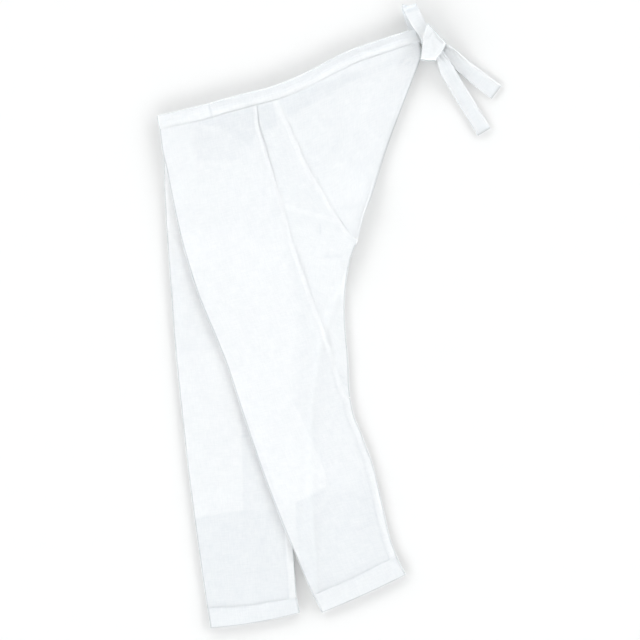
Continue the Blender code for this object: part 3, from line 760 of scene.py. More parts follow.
def bleachedCotton(name, threadSpacing):
    # plain-woven bleached cotton: matt, with a fine square weave, thicker threads here and there,
    # and a faint soft edge of light from its fibres
    material, tree, shader = newMaterial(name, cotton["surface"])
    uv = addNode(tree, "ShaderNodeUVMap", uv_map="cloth").outputs[0]

    def stretched(factors):
        node = addNode(tree, "ShaderNodeVectorMath", {0: uv, 1: factors}, operation="MULTIPLY")
        return node.outputs[0]

    def noise(place, scale, detail, roughness, **settings):
        values = {"Vector": place, "Scale": scale, "Detail": detail, "Roughness": roughness}
        return addNode(tree, "ShaderNodeTexNoise", values, **settings).outputs["Fac"]

    def mapped(source, low, high, most, **settings):
        # from low .. high to -most .. most
        ends = {"From Min": low, "From Max": high, "To Min": -most, "To Max": most}
        ends["Value"] = source
        return addNode(tree, "ShaderNodeMapRange", ends, **settings).outputs[0]

    turns = 2 * np.pi / (threadSpacing * 0.001)
    split = addNode(tree, "ShaderNodeSeparateXYZ", {0: stretched((turns, turns, 0.0))})
    weave = maths(tree, "MULTIPLY", *[maths(tree, "SINE", split.outputs[k]) for k in (0, 1)])
    slubs = [
        noise(stretched(factors), 1.0, 2.0, 0.5, noise_dimensions="2D")
        for factors in cotton["slubStretch"]
    ]
    slub = maths(tree, "ADD", *slubs)
    relief = maths(tree, "MULTIPLY_ADD", slub, cotton["slubDepth"], weave)
    depth = {"Strength": 0.5, "Distance": cotton["weaveDepth"] * 0.001, "Height": relief}
    bump = addNode(tree, "ShaderNodeBump", depth)
    tree.links.new(bump.outputs[0], shader.inputs["Normal"])

    place = addNode(tree, "ShaderNodeTexCoord").outputs["Object"]
    clouds = mapped(noise(place, 45.0, 3.0, 0.6), 0.3, 0.7, cotton["cloudTone"])
    threads = mapped(slub, 0.6, 1.4, cotton["threadTone"], clamp=False)
    # the shade attribute mixes the lit colour towards the shaded one, for single cloth, painted
    # shade and, below 0, painted light; the edge attribute mixes in the grey of painted shade at
    # edges
    shade, edge = (
        addNode(tree, "ShaderNodeAttribute", attribute_name=attribute).outputs["Fac"]
        for attribute in ("shade", "edge")
    )
    share = maths(tree, "ADD", shade, maths(tree, "ADD", clouds, threads))
    tones = {"Factor": share, 6: hexColour(cotton["lit"]), 7: hexColour(cotton["shaded"])}
    colour = addNode(tree, "ShaderNodeMix", tones, data_type="RGBA", clamp_factor=False)
    tones = {"Factor": edge, 6: colour.outputs[2], 7: hexColour(cotton["edge"])}
    turned = addNode(tree, "ShaderNodeMix", tones, data_type="RGBA")
    tree.links.new(turned.outputs[2], shader.inputs["Base Color"])
    return material


clothCotton = bleachedCotton("bleachedPlainCotton", cotton["threadSpacing"])
bandCotton = bleachedCotton("bleachedBandCotton", cotton["bandThreadSpacing"])
sewingThread = bleachedCotton("whiteSewingThread", cotton["sewingThreadSpacing"])
print("materials made")


# The two halves
folds = {
    "seamAllowance": 10.0,  # the strip beside a seam where the turned-in edges lie beneath
    "allowanceHeight": 0.35,
    "allowanceDrop": 1.6,
    "groove": (0.35, 1.6),  # depth, half width
    "edgeFold": 7.0,  # the narrow hem on the wrap's loose edge
    "edgeFoldHeight": 0.3,
    "edgeFoldDrop": 1.2,
    "closingFade": 10.0,
    "closingHeight": 0.4,  # of the strip along the seam that closes the leg below its gusset
    "closingWidth": 13.0,
    "closingDrop": 1.5,
    "waveHeight": 0.7,
    "underReturn": 2.2,  # the under half's front is turned in this many times as far
    "underGrain": (0.099, -0.995),  # its threads run straight down the far leg
}
hemBand = {
    "wall": 1.1,  # doubled cloth
    "gap": 0.6,
    "waveShare": 0.6,
    "tone": {"over": 0.5, "under": 0.75},
}

overCreases = (  # x0, y0, x1, y1, half width, height
    (-16.2, 168.3, -16.2, 143.1, 2.5, -0.6),
    (59.4, 197.1, 1.8, 191.7, 9.0, 0.5),
    (37.8, 107.1, -19.8, 105.3, 9.0, 0.5),
    (109.8, 458.1, 149.4, 450.9, 2.0, -0.4),
    (34.2, -386.1, 100.8, -371.7, 3.0, 0.5),
    (73.8, -278.1, 106.2, -385.2, 3.5, 0.6),
    (30.0, -125.0, 41.0, -165.0, 3.0, -0.5),
)
underCreases = (  # the far leg's inner wall, and the same kind of crease where it is hidden
    (-223.2, -467.1, -70.2, -454.5, 2.5, 0.2),
    (-150.0, 120.0, -110.0, 20.0, 8.0, 0.5),
    (-240.0, -250.0, -150.0, -262.0, 6.0, 0.3),
)


overZones = (  # tone, softness in mm, corners
    # upper leg
    (0.12, 30.0, ((-259.2, 135.9), (-79.2, 135.9), (-120.6, 297.9), (-304.2, 297.9))),
    # middle of the leg
    (-0.1, 30.0, (
        (-169.2, -152.1), (-70.2, -152.1), (-52.2, -26.1), (-82.8, 153.9), (-268.2, 153.9),
    )),
    # doubled cloth down the shin
    (-0.1, 3.0, (
        (-88.2, -333.9), (-70.2, -333.9), (-82.8, -128.7), (-88.2, -26.1), (-205.2, -26.1),
    )),
    # its knee
    (-0.1, 3.0, (
        (-79.2, -333.9), (-48.6, -333.9), (-52.2, -175.5), (-82.8, -125.1), (-120.6, -98.1),
    )),
    # and its lower end
    (-0.08, 3.0, (
        (-79.2, -335.7), (-59.4, -335.7), (-5.4, -308.7), (-7.2, -278.1), (-54.0, -175.5),
        (-120.6, -175.5),
    )),
    # thigh gusset
    (0.08, 15.0, (
        (-12.6, -62.1), (28.8, -143.1), (45.0, -26.1), (28.8, 150.3), (-70.2, 162.9),
    )),
    # wrap's tip
    (0.1, 12.0, ((41.4, 161.1), (55.8, 198.9), (70.2, 243.9), (10.8, 279.9), (-19.8, 225.9))),
    # single cloth below it
    (0.8, 4.0, (
        (-52.2, -440.1), (-30.6, -557.1), (37.8, -557.1), (37.8, -440.1), (-7.2, -310.5),
        (-63.0, -337.5),
    )),
    # single cloth beside it
    (0.75, 25.0, ((-16.2, -557.1), (149.4, -512.1), (91.8, -308.7), (-19.8, -317.7))),
    # beside the front fold
    (0.2, 3.0, ((-61.2, -418.5), (-59.4, -332.1), (-100.8, -330.3))),
    # above the hem
    (0.95, 7.0, ((-27.0, -512.1), (117.0, -443.7), (113.4, -425.7), (-30.6, -486.9))),
    # soft shade below the band
    (0.55, 8.0, (
        (-235.8, 279.9), (-176.4, 276.3), (-145.8, 290.7), (-156.6, 323.1), (-239.4, 337.5),
    )),
    # wedge of painted shade below the band, where the cloth falls away from it
    (1.0, 3.0, (
        (-225.0, 342.0), (-201.6, 338.4), (-176.4, 336.6), (-131.4, 337.5), (-132.3, 357.3),
        (-141.3, 374.4), (-241.2, 348.3),
    )),
    # its lower corner
    (0.9, 3.0, (
        (-144.9, 305.1), (-135.9, 312.3), (-133.2, 323.1), (-131.4, 336.6), (-198.0, 336.6),
    )),
    # hip gusset
    (0.45, 8.0, ((-79.2, 198.9), (-52.2, 207.9), (-91.8, 339.3), (-117.0, 332.1))),
    # top of the hip gusset
    (1.0, 3.0, ((-117.0, 332.1), (-91.8, 339.3), (-100.8, 383.4), (-130.5, 375.3))),
    # painted shade below the band at the back, where the cloth lies lower beside it
    (1.0, 4.0, (
        (-75.6, 353.7), (-50.4, 368.1), (32.4, 402.3), (68.4, 431.1), (55.8, 441.9),
        (-90.0, 388.8),
    )),
    # its narrow end
    (0.7, 3.0, ((68.4, 429.3), (153.0, 467.1), (149.4, 476.1), (52.2, 440.1))),
)
underZones = (  # tone, softness in mm, corners
    # between the legs
    (0.75, 3.0, ((-160.2, -44.1), (-160.2, -692.1), (-52.2, -692.1), (-52.2, -44.1))),
    # single cloth at the ankle
    (0.95, 3.0, (
        (-268.2, -584.1), (1.8, -584.1), (1.8, -350.1), (-154.8, -350.1), (-268.2, -366.3),
    )),
    # doubled cloth down the shin
    (0.12, 3.0, (
        (-268.2, -368.1), (-154.8, -350.1), (-157.5, -198.9), (-167.4, -134.1),
        (-192.6, -58.5), (-304.2, -66.6),
    )),
)
# Painted shade along creases, puckers and soft folds; a tone below 0 paints it lighter
overShadeLines = (  # x0, y0, x1, y1, half width, tone
    (-16.2, 170.1, -16.2, 141.3, 1.6, 0.9),
    (64.8, 198.9, -1.8, 190.8, 4.5, 0.5),
    (43.2, 108.0, -23.4, 104.4, 3.5, 0.55),
    (118.8, 457.7, 158.0, 452.6, 1.7, 1.3),
    (34.2, -386.1, 102.6, -369.9, 4.0, 0.3),
    (102.6, -384.3, 107.1, -396.9, 1.8, 0.9),
    (18.0, -106.0, 28.0, -114.0, 1.6, 1.0),
    (22.0, -119.0, 37.0, -129.0, 1.6, 1.1),
    (27.0, -137.0, 41.0, -143.0, 1.6, 1.0),
    (30.0, -154.0, 41.0, -160.0, 1.6, 1.0),
    (52.2, -269.1, 79.2, -386.1, 9.0, 0.3),
    (64.0, -352.0, 100.0, -362.0, 2.0, 0.5),
    (41.4, 355.5, -1.8, 278.1, 7.0, 0.2),
    (84.6, 434.7, 48.6, 315.9, 9.0, -0.25),
    (-22.5, 250.0, -16.5, 236.0, 1.7, 1.3),
    (-6.5, 213.0, -1.5, 202.0, 1.7, 1.2),
    (-52.2, 99.9, 1.8, -26.1, 6.0, 0.15),
    (16.2, -4.5, 41.4, -11.7, 4.0, 0.3),
    (-239.4, 315.9, -205.2, 321.3, 5.0, 0.35),
)
# Painted shade along creases and soft folds of the under half
underShadeLines = (  # x0, y0, x1, y1, half width, tone
    (-185.4, -468.0, -66.6, -453.6, 1.4, 0.4),
    (-171.0, -217.8, -135.0, -215.1, 1.4, 0.6),
    (-95.4, -328.5, -127.8, -425.7, 7.0, 0.3),
    (-102.6, -413.1, -91.8, -440.1, 5.0, 0.3),
    (-271.8, -64.8, -190.8, -58.5, 1.4, 0.35),
)

# Tone of the cloth: 0 where two layers lie under the light, 1 where the single cloth looks
# greyer, higher where shade is painted on, and lower where light is painted on
halfBase = {"over": 0.33, "under": 0.40}
seamTone = {
    "strip": -0.15,
    "stripWidth": 9.0,
    "closingStripWidth": 13.0,
    "closingRise": 0.2,
    "gussetRise": 0.1,
    "gussetStripWidth": 7.0,
    "line": 1.1,
    "lineWidth": 1.0,
    # closingLine paints shade along the outer edge of the closing strip
    "closingLine": 0.5,
    "wrapLine": 0.35,
    "farSoft": 1.5,
    "nearSoft": 0.6,
    "legSlant": 0.95,  # cosine of the seam's slant, which makes a level distance one across it
    "wrapSlant": 0.85,
    "closingOver": 12.0,
    "closingSoft": 2.0,
    "faintest": 0.35,  # how much of the leg seam's line shows low down
    "fadeFrom": 200.0,
    "fadeOver": 120.0,
    "wrapFade": 4.0,
}
# Painted light on the under half, which makes up for the over half's shadow on it
lifted = {  # whiter cloth on the under half
    "besideOver": 0.75,  # beside the over half's front edge
    "reach": 16.0,
    "start": 5.0,
    "aboveLegs": 0.8,
    "aboveFrom": 60.0,
    "aboveOver": 120.0,
}


def seamStrip(toSeam, width):
    # 1 over the turned-in edges beside a seam, 0 elsewhere
    far = eased((width - toSeam) / seamTone["farSoft"] + 0.5)
    return far * eased(toSeam / seamTone["nearSoft"] + 1.0)


def halfTone(x, y, base, zones, lines, edges):
    # zones, then the painted shade of short lines, then the whiter strips over the turned-in edges
    # beside each seam
    tone = clothShade(x, y, base, zones) + creaseHeight(x, y, lines)
    toLegSeam = (edgeX(edges["seam"], y) - x) * seamTone["legSlant"]
    closing = eased((edges["legSeamThigh"][-1][1] - y) / seamTone["closingOver"])
    width = mixed(seamTone["stripWidth"], seamTone["closingStripWidth"], closing)
    stripTone = seamTone["strip"] + seamTone["closingRise"] * closing
    tone = mixed(tone, stripTone, seamStrip(toLegSeam, width))
    fading = eased((y - seamTone["fadeFrom"]) / seamTone["fadeOver"])
    fading = mixed(seamTone["faintest"], 1.0, fading)
    seamLine = bell(toLegSeam, seamTone["lineWidth"]) * fading * (1 - closing)
    # painted shade along the outer edge of the closing strip
    closingLine = bell(toLegSeam - width, seamTone["closingSoft"])
    closingLine = seamTone["closingLine"] * closing * closingLine
    wrapSeam = edges["wrapSeam"]
    toWrapSeam = (edgeX(wrapSeam, y) - x) * seamTone["wrapSlant"]
    above = eased((y - wrapSeam[-1][1]) / seamTone["wrapFade"]) * (toLegSeam < 0)
    strip = seamStrip(toWrapSeam, seamTone["stripWidth"]) * above
    tone = mixed(tone, seamTone["strip"], strip)
    wrapLine = seamTone["wrapLine"] * bell(toWrapSeam, seamTone["lineWidth"]) * above
    first, last = edges["legSeamHip"][-1], edges["wrapSeamHip"][-1]
    slope = (last[1] - first[1]) / (last[0] - first[0])
    below = (first[1] + slope * (x - first[0]) - y) * seamTone["legSlant"]
    strip = seamStrip(below, seamTone["gussetStripWidth"]) * (toLegSeam < 0) * (toWrapSeam > 0)
    tone = mixed(tone, seamTone["strip"] + seamTone["gussetRise"], strip)
    return tone + seamTone["line"] * seamLine + closingLine + wrapLine


def overShade(x, y):
    return halfTone(x, y, halfBase["over"], overZones, overShadeLines, overEdges)


def underShade(x, y):
    # painted light: whiter beside the over half's front edge, where its shadow falls, and above the
    # legs, where the over half shades the under one
    toOver = np.maximum(edgeX(overEdges["frontLine"], y) - x, 0)
    beside = np.exp(-toOver / lifted["reach"]) * eased(toOver / lifted["start"])
    beside = lifted["besideOver"] * beside
    above = lifted["aboveLegs"] * eased((y - lifted["aboveFrom"]) / lifted["aboveOver"])
    return halfTone(x, y, halfBase["under"], underZones, underShadeLines, underEdges) - beside - above


def seamRelief(toSeam):
    # a plateau over the seam allowance that drops into a groove at the seam
    plateau = 1 - eased((toSeam - folds["seamAllowance"]) / folds["allowanceDrop"])
    return folds["allowanceHeight"] * plateau - dent(toSeam, folds["groove"])


def addHalf(prefix, edges, walls, shadeOf, creases, seed):
    isOver = prefix == "over"
    topWall = 0 if isOver else 1  # the wall that can be seen from above
    grain = None if isOver else folds["underGrain"]
    freeEdges = {"back_wrap": np.s_[:, -1], "hem": np.s_[-1]}  # where the cloth is cut or hemmed
    pieces = {}

    def columns(outer, inner):
        return (outer, inner) if isOver else (inner, outer)

    def gentle(x, y):
        waves = folds["waveHeight"] * slowWaves(x, y, seed)
        return np.maximum(waves, 0) + creaseHeight(x, y, creases)

    def legRelief(x, y, fromFold, fromSeam, which):
        # beside the gussets the seam is a groove, and below them a fold closes the leg
        if which != topWall:
            return 0.0 * x
        low = eased((edges["legSeamThigh"][-1][1] - y) / folds["closingFade"])
        strip = 1 - eased((fromSeam - folds["closingWidth"]) / folds["closingDrop"])
        closing = folds["closingHeight"] * low * strip
        return gentle(x, y) + seamRelief(fromSeam) * (1 - low) + closing

    def gussetRelief(x, y, fromFold, fromSeam, which):
        return gentle(x, y) * (which == topWall)

    def hemRelief(x, y, fromFold, fromSeam, which):
        return gussetRelief(x, y, fromFold, fromSeam, which) * hemBand["waveShare"]

    def hipHeight(x, y, fromLeft, fromRight, down):
        return walls(x, y)[0] + (gentle(x, y) + seamRelief(fromRight)) * isOver

    def wrapHeight(x, y, fromLeft, fromRight, down):
        edgeFold = 1 - eased((fromRight - folds["edgeFold"]) / folds["edgeFoldDrop"])
        edgeFold = folds["edgeFoldHeight"] * edgeFold
        return walls(x, y)[0] + (gentle(x, y) + edgeFold) * isOver

    def hemWalls(x, y):
        low = np.minimum(*walls(x, y)) - garment["clothThickness"] / 2 + hemBand["wall"] / 2
        heights = low, low + hemBand["wall"] + hemBand["gap"]
        return heights[::-1] if isOver else heights

    def add(name, surface, wall=garment["clothThickness"]):
        middle, normal = surface
        tones = shadeOf(middle[..., 0], middle[..., 1])
        if name == "hem":
            tones = np.full(tones.shape, hemBand["tone"][prefix])
        edgeBelow = edgeShadeTone["gussetTop"] if name == "thigh_gusset" else np.inf
        piece = clothPiece(
            f"{prefix}_{name}", middle, normal, wall, tones, grain, freeEdges.get(name), edgeBelow
        )
        pieces[name] = (piece, middle, normal)

    stations = np.arange(len(edges["seam"]))[:, None]
    reach = (stations >= rows["hip"]).astype(float)
    shut = stations > rows["hip"] + rows["thigh"]
    turnedIn = garment["returnWidth"] * (1 if isOver else folds["underReturn"])
    leg = Ruled(edges["front"], edges["seam"], edges["waistLeg"], edges["hemSag"])
    tube = foldedPanel(leg, columns(104, 24), reach, shut, walls, legRelief, turnedIn=turnedIn)
    add("leg", tube)
    hip = Ruled(edges["legSeamHip"], edges["wrapSeamHip"], edges["waistHip"])
    add("hip_gusset", flatPanel(hip, 24, hipHeight))
    wrap = Ruled(edges["wrapSeam"], edges["looseEdge"], edges["waistWrap"])
    add("back_wrap", flatPanel(wrap, 60, wrapHeight))
    thigh = Ruled(edges["gussetBack"], edges["legSeamThigh"])
    whole = np.ones((rows["thigh"] + 1, 1))
    gusset = foldedPanel(thigh, columns(44, 16), whole, whole < 0, walls, gussetRelief)
    add("thigh_gusset", gusset)

    down = np.linspace(0, 1, rows["hem"] + 1)[:, None]
    left = mixed(edges["front"][-1], edges["hem"][0], down)
    right = mixed(edges["shinBack"][-1], edges["hem"][1], down)
    hem = Ruled(left, right, sag=edges["hemSag"], sagPower=0)
    every = np.ones_like(down)
    wall, pitch = hemBand["wall"], hemBand["wall"] + hemBand["gap"]
    foot = foldedPanel(hem, (64, 64), every, every > 0, hemWalls, hemRelief, wall, pitch)
    add("hem", foot, wall)
    return pieces


underPieces = addHalf("under", underEdges, underWalls, underShade, underCreases, 3)
overPieces = addHalf("over", overEdges, overWalls, overShade, overCreases, 8)
print("halves made")


# Waistband and ties
band = {
    "width": 26.0,
    "lap": 0.6,  # how far its lower edge covers the cloth that is sewn into it
    "thickness": 2.2,
    "underMiddle": 1.1,
    "overMiddle": 4.2,
    "stations": 240,
    "underShortBy": 10,  # stations that the under stretch stops before the over one
    "lowerHalfRise": 0.25,
    "lowerHalf": 12.0,
    "stitchFromEdge": 3.0,
    "stitchGroove": (0.2, 0.9),  # depth or height, half width
    "puckers": (0.12, 5.0),
    "crossSeam": (0.35, 1.3),
    "crossLine": (0.9, 1.6),
    "thinnerEdge": 0.6,
    "firstTone": 0.12,  # in front of the cross seam
    "upperTone": 0.62,
    "lastTone": 0.1,
    "crossSeamAt": 92.0,  # how far from the front turn the seam across the band lies
    "tieThickness": 1.6,
}


def waistbandPath():
    # back along the under half, half a turn of radius (over - under) / 2 at the front, and along
    # the over half, on a line half the band's width outside the waist edge
    edge = along(waistLine, 0, 1, band["stations"])
    tangent = unit(np.gradient(edge, axis=0))
    outwards = np.stack([-tangent[:, 1], tangent[:, 0]], axis=1)
    line = edge + outwards * (band["width"] / 2 - band["lap"])
    radius = (band["overMiddle"] - band["underMiddle"]) / 2
    start = line[0] + tangent[0] * (radius + band["thickness"] / 2)
    line = line[3:]
    line[0] = start
    angle = np.radians(np.arange(15.0, 166.0, 15.0))
    turn = np.column_stack([
        start - np.sin(angle)[:, None] * radius * tangent[0],
        (band["overMiddle"] + band["underMiddle"]) / 2 - radius * np.cos(angle),
    ])
    short = line[: -band["underShortBy"]]
    under = np.column_stack([short[::-1], np.full(len(short), band["underMiddle"])])
    over = np.column_stack([line, np.full(len(line), band["overMiddle"])])
    return np.vstack([under, turn, over]), len(under) + len(turn)


bandPath, overStart = waistbandPath()
bandAcross, bandNormal = carriedFrames(bandPath)
overRun = lengthsAlong(bandPath)[overStart]
# Which end of across is outermost
outerSide = 1.0 if bandAcross[-1] @ (-0.3, 0.95, 0.0) > 0 else -1.0


def fromLowerEdge(share):
    return (share * outerSide + 1) * band["width"] / 2


def pastCrossSeam(run):
    return run - overRun - band["crossSeamAt"]


def bandRelief(run, share, face):
    # above, on the over stretch only: the lower half stands a little proud, with a groove where it
    # is stitched and soft puckers along it
    onTop = (run > overRun) * (np.sign(bandNormal[-1, 2]) == face)
    fromLower = fromLowerEdge(share)
    lower = (1 - eased((fromLower - band["lowerHalf"]) / 2.0)) * eased(fromLower / 4.0)
    lower = band["lowerHalfRise"] * lower
    groove = dent(fromLower - band["stitchFromEdge"], band["stitchGroove"])
    puckers = np.sin(run / 9.0 + np.sin(run / 23.0) * 2) * dent(fromLower - 5.0, band["puckers"])
    crossSeam = dent(pastCrossSeam(run), band["crossSeam"])
    thinner = band["thinnerEdge"] * (1 - eased(fromLower / 3.0))
    return face * onTop * (lower - groove + puckers - crossSeam - thinner)


def bandShade(run, share, face, x, y):
    # the upper part is greyer than the lower one, past the cross seam
    past = eased(pastCrossSeam(run) / 3.0)
    upper = band["upperTone"] * eased((fromLowerEdge(share) - 9.0) / 3.5)
    crossLine = dent(pastCrossSeam(run) - 1.0, band["crossLine"])
    rightEnd = band["lastTone"] * eased((run - overRun - 300.0) / 150.0)
    return band["firstTone"] * (1 - past) + past * (upper + rightEnd) + crossLine


def bandEdge(run, share):
    # the lower edge is sewn down on the cloth, so little of the edge's painted shade goes on it
    onLower = (share * outerSide < 0) * (run > overRun + 5.0)
    return 1.0 - onLower * (1.0 - 0.2 * eased(pastCrossSeam(run) / 10.0))


bandHalf = np.full(len(bandPath), band["width"] / 2)
waistband, bandPoints, bandLength = strapPiece(
    "waistband", bandPath, bandAcross, bandNormal, bandHalf, band["thickness"],
    bandRelief, bandShade, edgeShare=bandEdge,
)


# Shade on the knot, the ties and the loop, drawn as zones and short lines like that of the legs
knotZones = (  # tone, softness in mm, corners
    (1.7, 2.0, ((189.5, 501.5), (203.8, 486.5), (209.5, 494.8), (181.3, 523.1))),
    (0.35, 3.0, ((170.1, 492.3), (176.4, 494.8), (187.0, 511.4), (179.1, 521.1))),
)
knotLines = (  # x0, y0, x1, y1, half width, tone
    (187.2, 511.2, 176.4, 494.5, 1.3, 1.6),
    (189.9, 502.2, 203.4, 487.6, 1.2, 0.9),
)
tieZones = (  # tone, softness in mm, corners
    (2.6, 3.0, ((197.1, 464.4), (207.5, 471.6), (212.8, 487.8), (200.7, 489.6))),
    (1.6, 3.0, ((196.2, 451.8), (207.5, 469.3), (198.0, 471.6), (193.0, 457.2))),
)
# Painted shade on the top of the loop, where it turns over
loopZones = (  # tone, softness in mm, corners
    (1.2, 6.0, ((128.0, 541.0), (160.0, 549.0), (164.0, 564.0), (128.0, 558.0))),
)
loopLines = (  # x0, y0, x1, y1, half width, tone
    (130.0, 554.5, 160.0, 561.0, 2.0, 1.8),
)
tieShadeLines = (  # x0, y0, x1, y1, half width, tone
    (148.0, 519.3, 165.2, 493.2, 1.1, 0.9),
    (179.3, 524.3, 167.9, 492.3, 1.1, 1.1),
    (208.8, 471.6, 222.5, 446.4, 1.1, 0.8),
)


greyShare = 0.12  # how much of the edge's grey makes one step of tone


def drawn(x, y, zones, lines):
    # tone of the zones and lines at (x, y)
    return clothShade(x, y, 0.0, zones) + creaseHeight(x, y, lines)


tie = {
    "tone": 0.3,  # along the folded edges
    "middleTone": 0.35,  # added between them
    "endHem": 4.0,  # its stitched end
    "endLine": (0.6, 0.9),  # tone, half width
    "squeezedBy": 14.0,  # full folds where it is this much narrower than the band
    "foldHeight": 0.55,  # of the lengthwise folds where it is squeezed
    "lowered": 0.1,
}
# Painted light where the knot's shadow falls on each tie: how much lighter it gets, where along
# it, and the half width of that stretch
tiePaintedLight = {"under": (2.0, 128.0, 11.0), "over": (0.7, 75.0, 25.0)}


def tiePiece(prefix, table):
    # lengthwise folds where the tie is squeezed: height * cos(turns * share across), with the
    # height growing as the strap is narrower than its full width
    dense = smoothLine(table, 14)
    heights = [row[2] for row in table]
    dense[:, 2] = np.clip(dense[:, 2], min(heights), max(heights)) - tie["lowered"]
    path, halfWidth = dense[:, :3], dense[:, 3] / 2
    across, normal = carriedFrames(path)
    at = lengthsAlong(path)
    lightest, place, width = tiePaintedLight[prefix]

    def relief(run, share, face):
        narrower = band["width"] - np.interp(run, at, halfWidth * 2)
        squeezed = eased(narrower / tie["squeezedBy"])
        wave = np.cos(share * 8.0 + 0.6 * np.sin(run / 12.0))
        return tie["foldHeight"] * squeezed * wave * (1 - share**6)

    def tone(run, share, face, x, y):
        # lighter along both edges, where it is folded and stitched, and across its end, with
        # painted light where the knot's shadow falls on it and painted shade on the loop's top
        fromEnd = at[-1] - run
        middle = 1 - eased((np.abs(share) - 0.45) / 0.3)
        end = 1 - eased((fromEnd - tie["endHem"]) / 1.0)
        line = dent(fromEnd - tie["endHem"] - 1.0, tie["endLine"])
        greyer = (tie["middleTone"] - lightest * bell(run - place, width)) * middle + line
        return tie["tone"] + greyer * (1 - end) + drawn(x, y, loopZones, loopLines)

    def drawnGrey(x, y):
        return greyShare * drawn(x, y, tieZones, tieShadeLines)

    return strapPiece(
        f"{prefix}_tie", path, across, normal, halfWidth, band["tieThickness"], relief, tone,
        drawnEdge=drawnGrey,
    )


underTie, underTiePoints, underTieLength = tiePiece("under", underTiePath)
overTie, overTiePoints, overTieLength = tiePiece("over", overTiePath)


knotTurn = {
    "top": 8.9,  # height of the strap's middle over the ties, and beneath them
    "bottom": 0.8,
    "runSteps": 24,
    "arcSteps": 16,
    "tone": 0.15,
    "width": 36.0,
    "fanHeight": 0.3,
    "slant": (0.5, 1.6),  # depth, half width
}


def knotPiece():
    # one turn of strap round both ties: over the top, round a fold, beneath, and round a fold
    first, last = np.array(knotFolds)
    radius = (knotTurn["top"] - knotTurn["bottom"]) / 2
    level = (knotTurn["top"] + knotTurn["bottom"]) / 2
    run = unit(last[:2] - first[:2])
    share = np.linspace(0, 1, knotTurn["runSteps"] + 1)
    angle = np.radians(np.linspace(0, 180, knotTurn["arcSteps"] + 1)[1:-1])
    one, none = np.ones_like(share), np.zeros_like(share)
    rise, fall = np.sin(angle) * radius, radius * np.cos(angle)
    # the share of the way along, how far past the fold, the height, and the turn in degrees
    over = [share, none, one * knotTurn["top"], 90 * one]
    far = [1 + 0 * angle, rise, level + fall, 90 - np.degrees(angle)]
    beneath = [1 - share, none, one * knotTurn["bottom"], 270 * one]
    near = [0 * angle, -rise, level - fall, 270 - np.degrees(angle)]
    alongRun, past, height, turned = (
        np.concatenate(parts)[:, None] for parts in zip(over, far, beneath, near)
    )
    plan = mixed(first[:2], last[:2], alongRun) + run * past
    across = unit(mixed(first[2:4], last[2:4], alongRun))
    halfWidth = mixed(first[4], last[4], alongRun)[:, 0]
    turned = np.radians(turned)
    normal = np.hstack([run * np.cos(turned), np.sin(turned)])
    across = np.hstack([across, np.zeros_like(height)])

    def relief(runLength, share, face):
        # soft folds that fan out from the narrow end, and a deeper crease slantwise over the top
        onTop = bell(runLength - 18.0, 16.0)
        fan = knotTurn["fanHeight"] * np.cos(share * 5.5 + 0.4)
        slant = dent(share * 14.0 - (runLength - 20.0) * 0.5 - 2.0, knotTurn["slant"])
        return onTop * (fan - slant) * (1 - share**8)

    def tone(runLength, share, face, x, y):
        return knotTurn["tone"]

    def drawnGrey(x, y):
        return greyShare * drawn(x, y, knotZones, knotLines)

    return strapPiece(
        "knot", np.hstack([plan, height]), across, normal, halfWidth, band["tieThickness"],
        relief, tone, closed=True, drawnEdge=drawnGrey,
    )


knot, _, knotLength = knotPiece()
print("band, ties and knot made")


# Sewing, on the surfaces just made
sewing = {
    "above": 0.05,  # how far the middle of a stitch lies above the cloth
    "fromSeam": 3.0,
    "closingFromSeam": 14.0,
    "fromLooseEdge": 6.0,
    "hemRow": 0.1,  # share of the hem's height
    "bandRows": (0.1, 0.92),  # shares of the width
    "tieRows": (0.1, 0.9),
}


def lineInside(name, distance, start=2, stop=None, mirrored=False):
    # down a piece of the over half, at a distance across it from its first column, or from its last
    middle = overPieces[name][1][:, ::-1] if mirrored else overPieces[name][1]
    across = gridLengths(middle, 1)
    line = []
    for row in range(len(middle))[start:stop]:
        line.append([np.interp(distance, across[row], middle[row, :, k]) for k in range(3)])
    line = np.array(line)
    line[:, 2] += garment["clothThickness"] / 2 + sewing["above"]
    return line


def hemLine(pieces):
    # across the hem's upper wall, from its seam to its fold
    middle = pieces["hem"][1]
    half = middle.shape[1] // 2
    row = middle[int(round(sewing["hemRow"] * (len(middle) - 1)))]
    line = row[6 : half - 6] if row[6, 2] > row[-6, 2] else row[half + 6 : -6]
    return line + (0.0, 0.0, 0.6)


def strapLine(points, share):
    # along a strap's upper skin, at a share of its width
    count = points.shape[1] // 2
    first, second = points[:, :count], points[:, count:]
    upper = first if first[..., 2].mean() > second[..., 2].mean() else second[:, ::-1]
    at = 2 + share * (count - 5)
    low = int(at)
    return mixed(upper[:, low], upper[:, low + 1], at - low) + (0.0, 0.0, sewing["above"])


legEnd = rows["hip"] + rows["thigh"]
seamLines = [
    lineInside("leg", sewing["fromSeam"], stop=legEnd),
    lineInside("leg", sewing["closingFromSeam"], start=legEnd + 2),
    lineInside("hip_gusset", sewing["fromSeam"], mirrored=True),
    lineInside("back_wrap", sewing["fromLooseEdge"], mirrored=True),
]
stitchPiece("over_seam_stitches", seamLines)
stitchPiece("hem_stitches", [hemLine(overPieces), hemLine(underPieces)])
bandLines = [strapLine(bandPoints[overStart:], share) for share in sewing["bandRows"]]
for points in (overTiePoints[-40:], underTiePoints[-36:]):
    bandLines += [strapLine(points, share) for share in sewing["tieRows"]]
bandLines += [points[-3, 4:25] + (0, 0, 0.1) for points in (overTiePoints, underTiePoints)]
stitchPiece("band_stitches", bandLines)
print("sewing made")


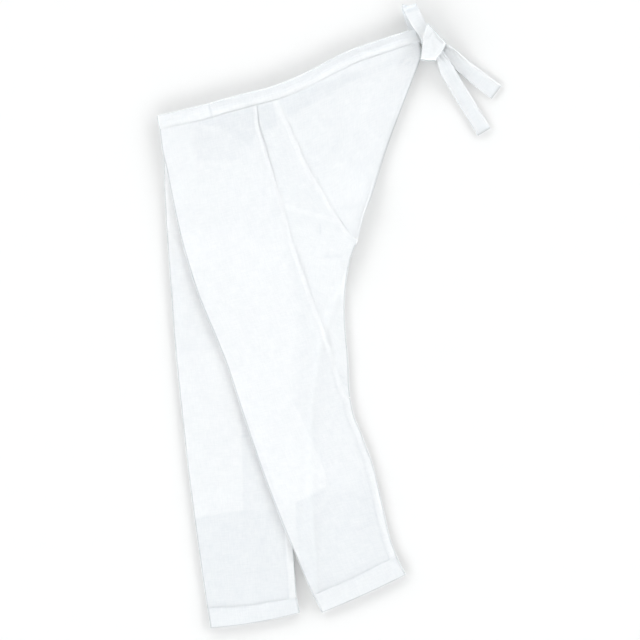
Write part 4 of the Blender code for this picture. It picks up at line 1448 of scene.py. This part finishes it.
# Floor, light and camera
studio = {
    "floor": {"Base Color": hexColour("#F1F2F2"), "Roughness": 1.0, "Specular IOR Level": 0.0},
    "floorSize": 4.0,
    "floorHeight": -0.0003,
    "sunStrength": 0.50,
    "sunAngle": 80.0,  # degrees across: a wide softbox overhead
    "sunTilt": (-8.0, -6.0),
    "worldStrength": 0.665,
    # height of the direction, brightness: a low ring of light gives the soft contact shadow
    "glow": (
        (0.0, 4.0), (0.05, 6.0), (0.09, 30.0), (0.15, 30.0),
        (0.19, 10.0), (0.25, 1.5), (0.45, 0.48), (1.0, 0.48),
    ),
    "cameraPlace": (-0.0164, -0.0067, 3.2),
    "lens": 100.0,
    "sensor": 36.0,
}


def addFloor():
    # a pale seamless sheet just under the cloth, matt, with no gloss
    side, height = studio["floorSize"], studio["floorHeight"]
    corners = [(side * x, side * y, height) for x, y in ((-1, -1), (1, -1), (1, 1), (-1, 1))]
    mesh = bpy.data.meshes.new("floor")
    mesh.from_pydata(corners, [], [(0, 1, 2, 3)])
    mesh.materials.append(newMaterial("paleStudioPaper", studio["floor"])[0])
    addObject("floor", mesh)


def addWorld():
    # plain white from above, brighter towards the horizon: strength = glow(height of the direction)
    world = bpy.data.worlds.new("studioGlow")
    world.use_nodes = True
    bpy.context.scene.world = world
    tree = world.node_tree
    direction = addNode(tree, "ShaderNodeTexCoord").outputs["Generated"]
    split = addNode(tree, "ShaderNodeSeparateXYZ", {0: direction})
    ramp = addNode(tree, "ShaderNodeFloatCurve", {"Value": split.outputs[2]})
    curve = ramp.mapping.curves[0]
    most = max(value for _, value in studio["glow"])
    points = [(place, value / most) for place, value in studio["glow"]]
    curve.points[0].location, curve.points[1].location = points[0], points[-1]
    for place in points[1:-1]:
        curve.points.new(*place)
    for point in curve.points:
        point.handle_type = "VECTOR"
    ramp.mapping.update()
    strength = maths(tree, "MULTIPLY", ramp.outputs[0], most * studio["worldStrength"])
    background = tree.nodes["Background"]
    background.inputs["Color"].default_value = (1.0, 1.0, 1.0, 1.0)
    tree.links.new(strength, background.inputs["Strength"])


def addLight():
    light = bpy.data.lights.new("overheadSoftbox", "SUN")
    light.energy, light.angle = studio["sunStrength"], np.radians(studio["sunAngle"])
    lamp = addObject("overheadSoftbox", light)
    lamp.location = (0.0, 0.0, 3.0)
    lamp.rotation_euler = (*np.radians(studio["sunTilt"]), 0.0)


def addCamera():
    camera = bpy.data.cameras.new("camera")
    camera.lens, camera.sensor_width = studio["lens"], studio["sensor"]
    view = addObject("camera", camera)
    view.location = studio["cameraPlace"]
    bpy.context.scene.camera = view


addFloor()
addWorld()
addLight()
addCamera()
bpy.context.scene.view_settings.view_transform = "Standard"
print("studio made")
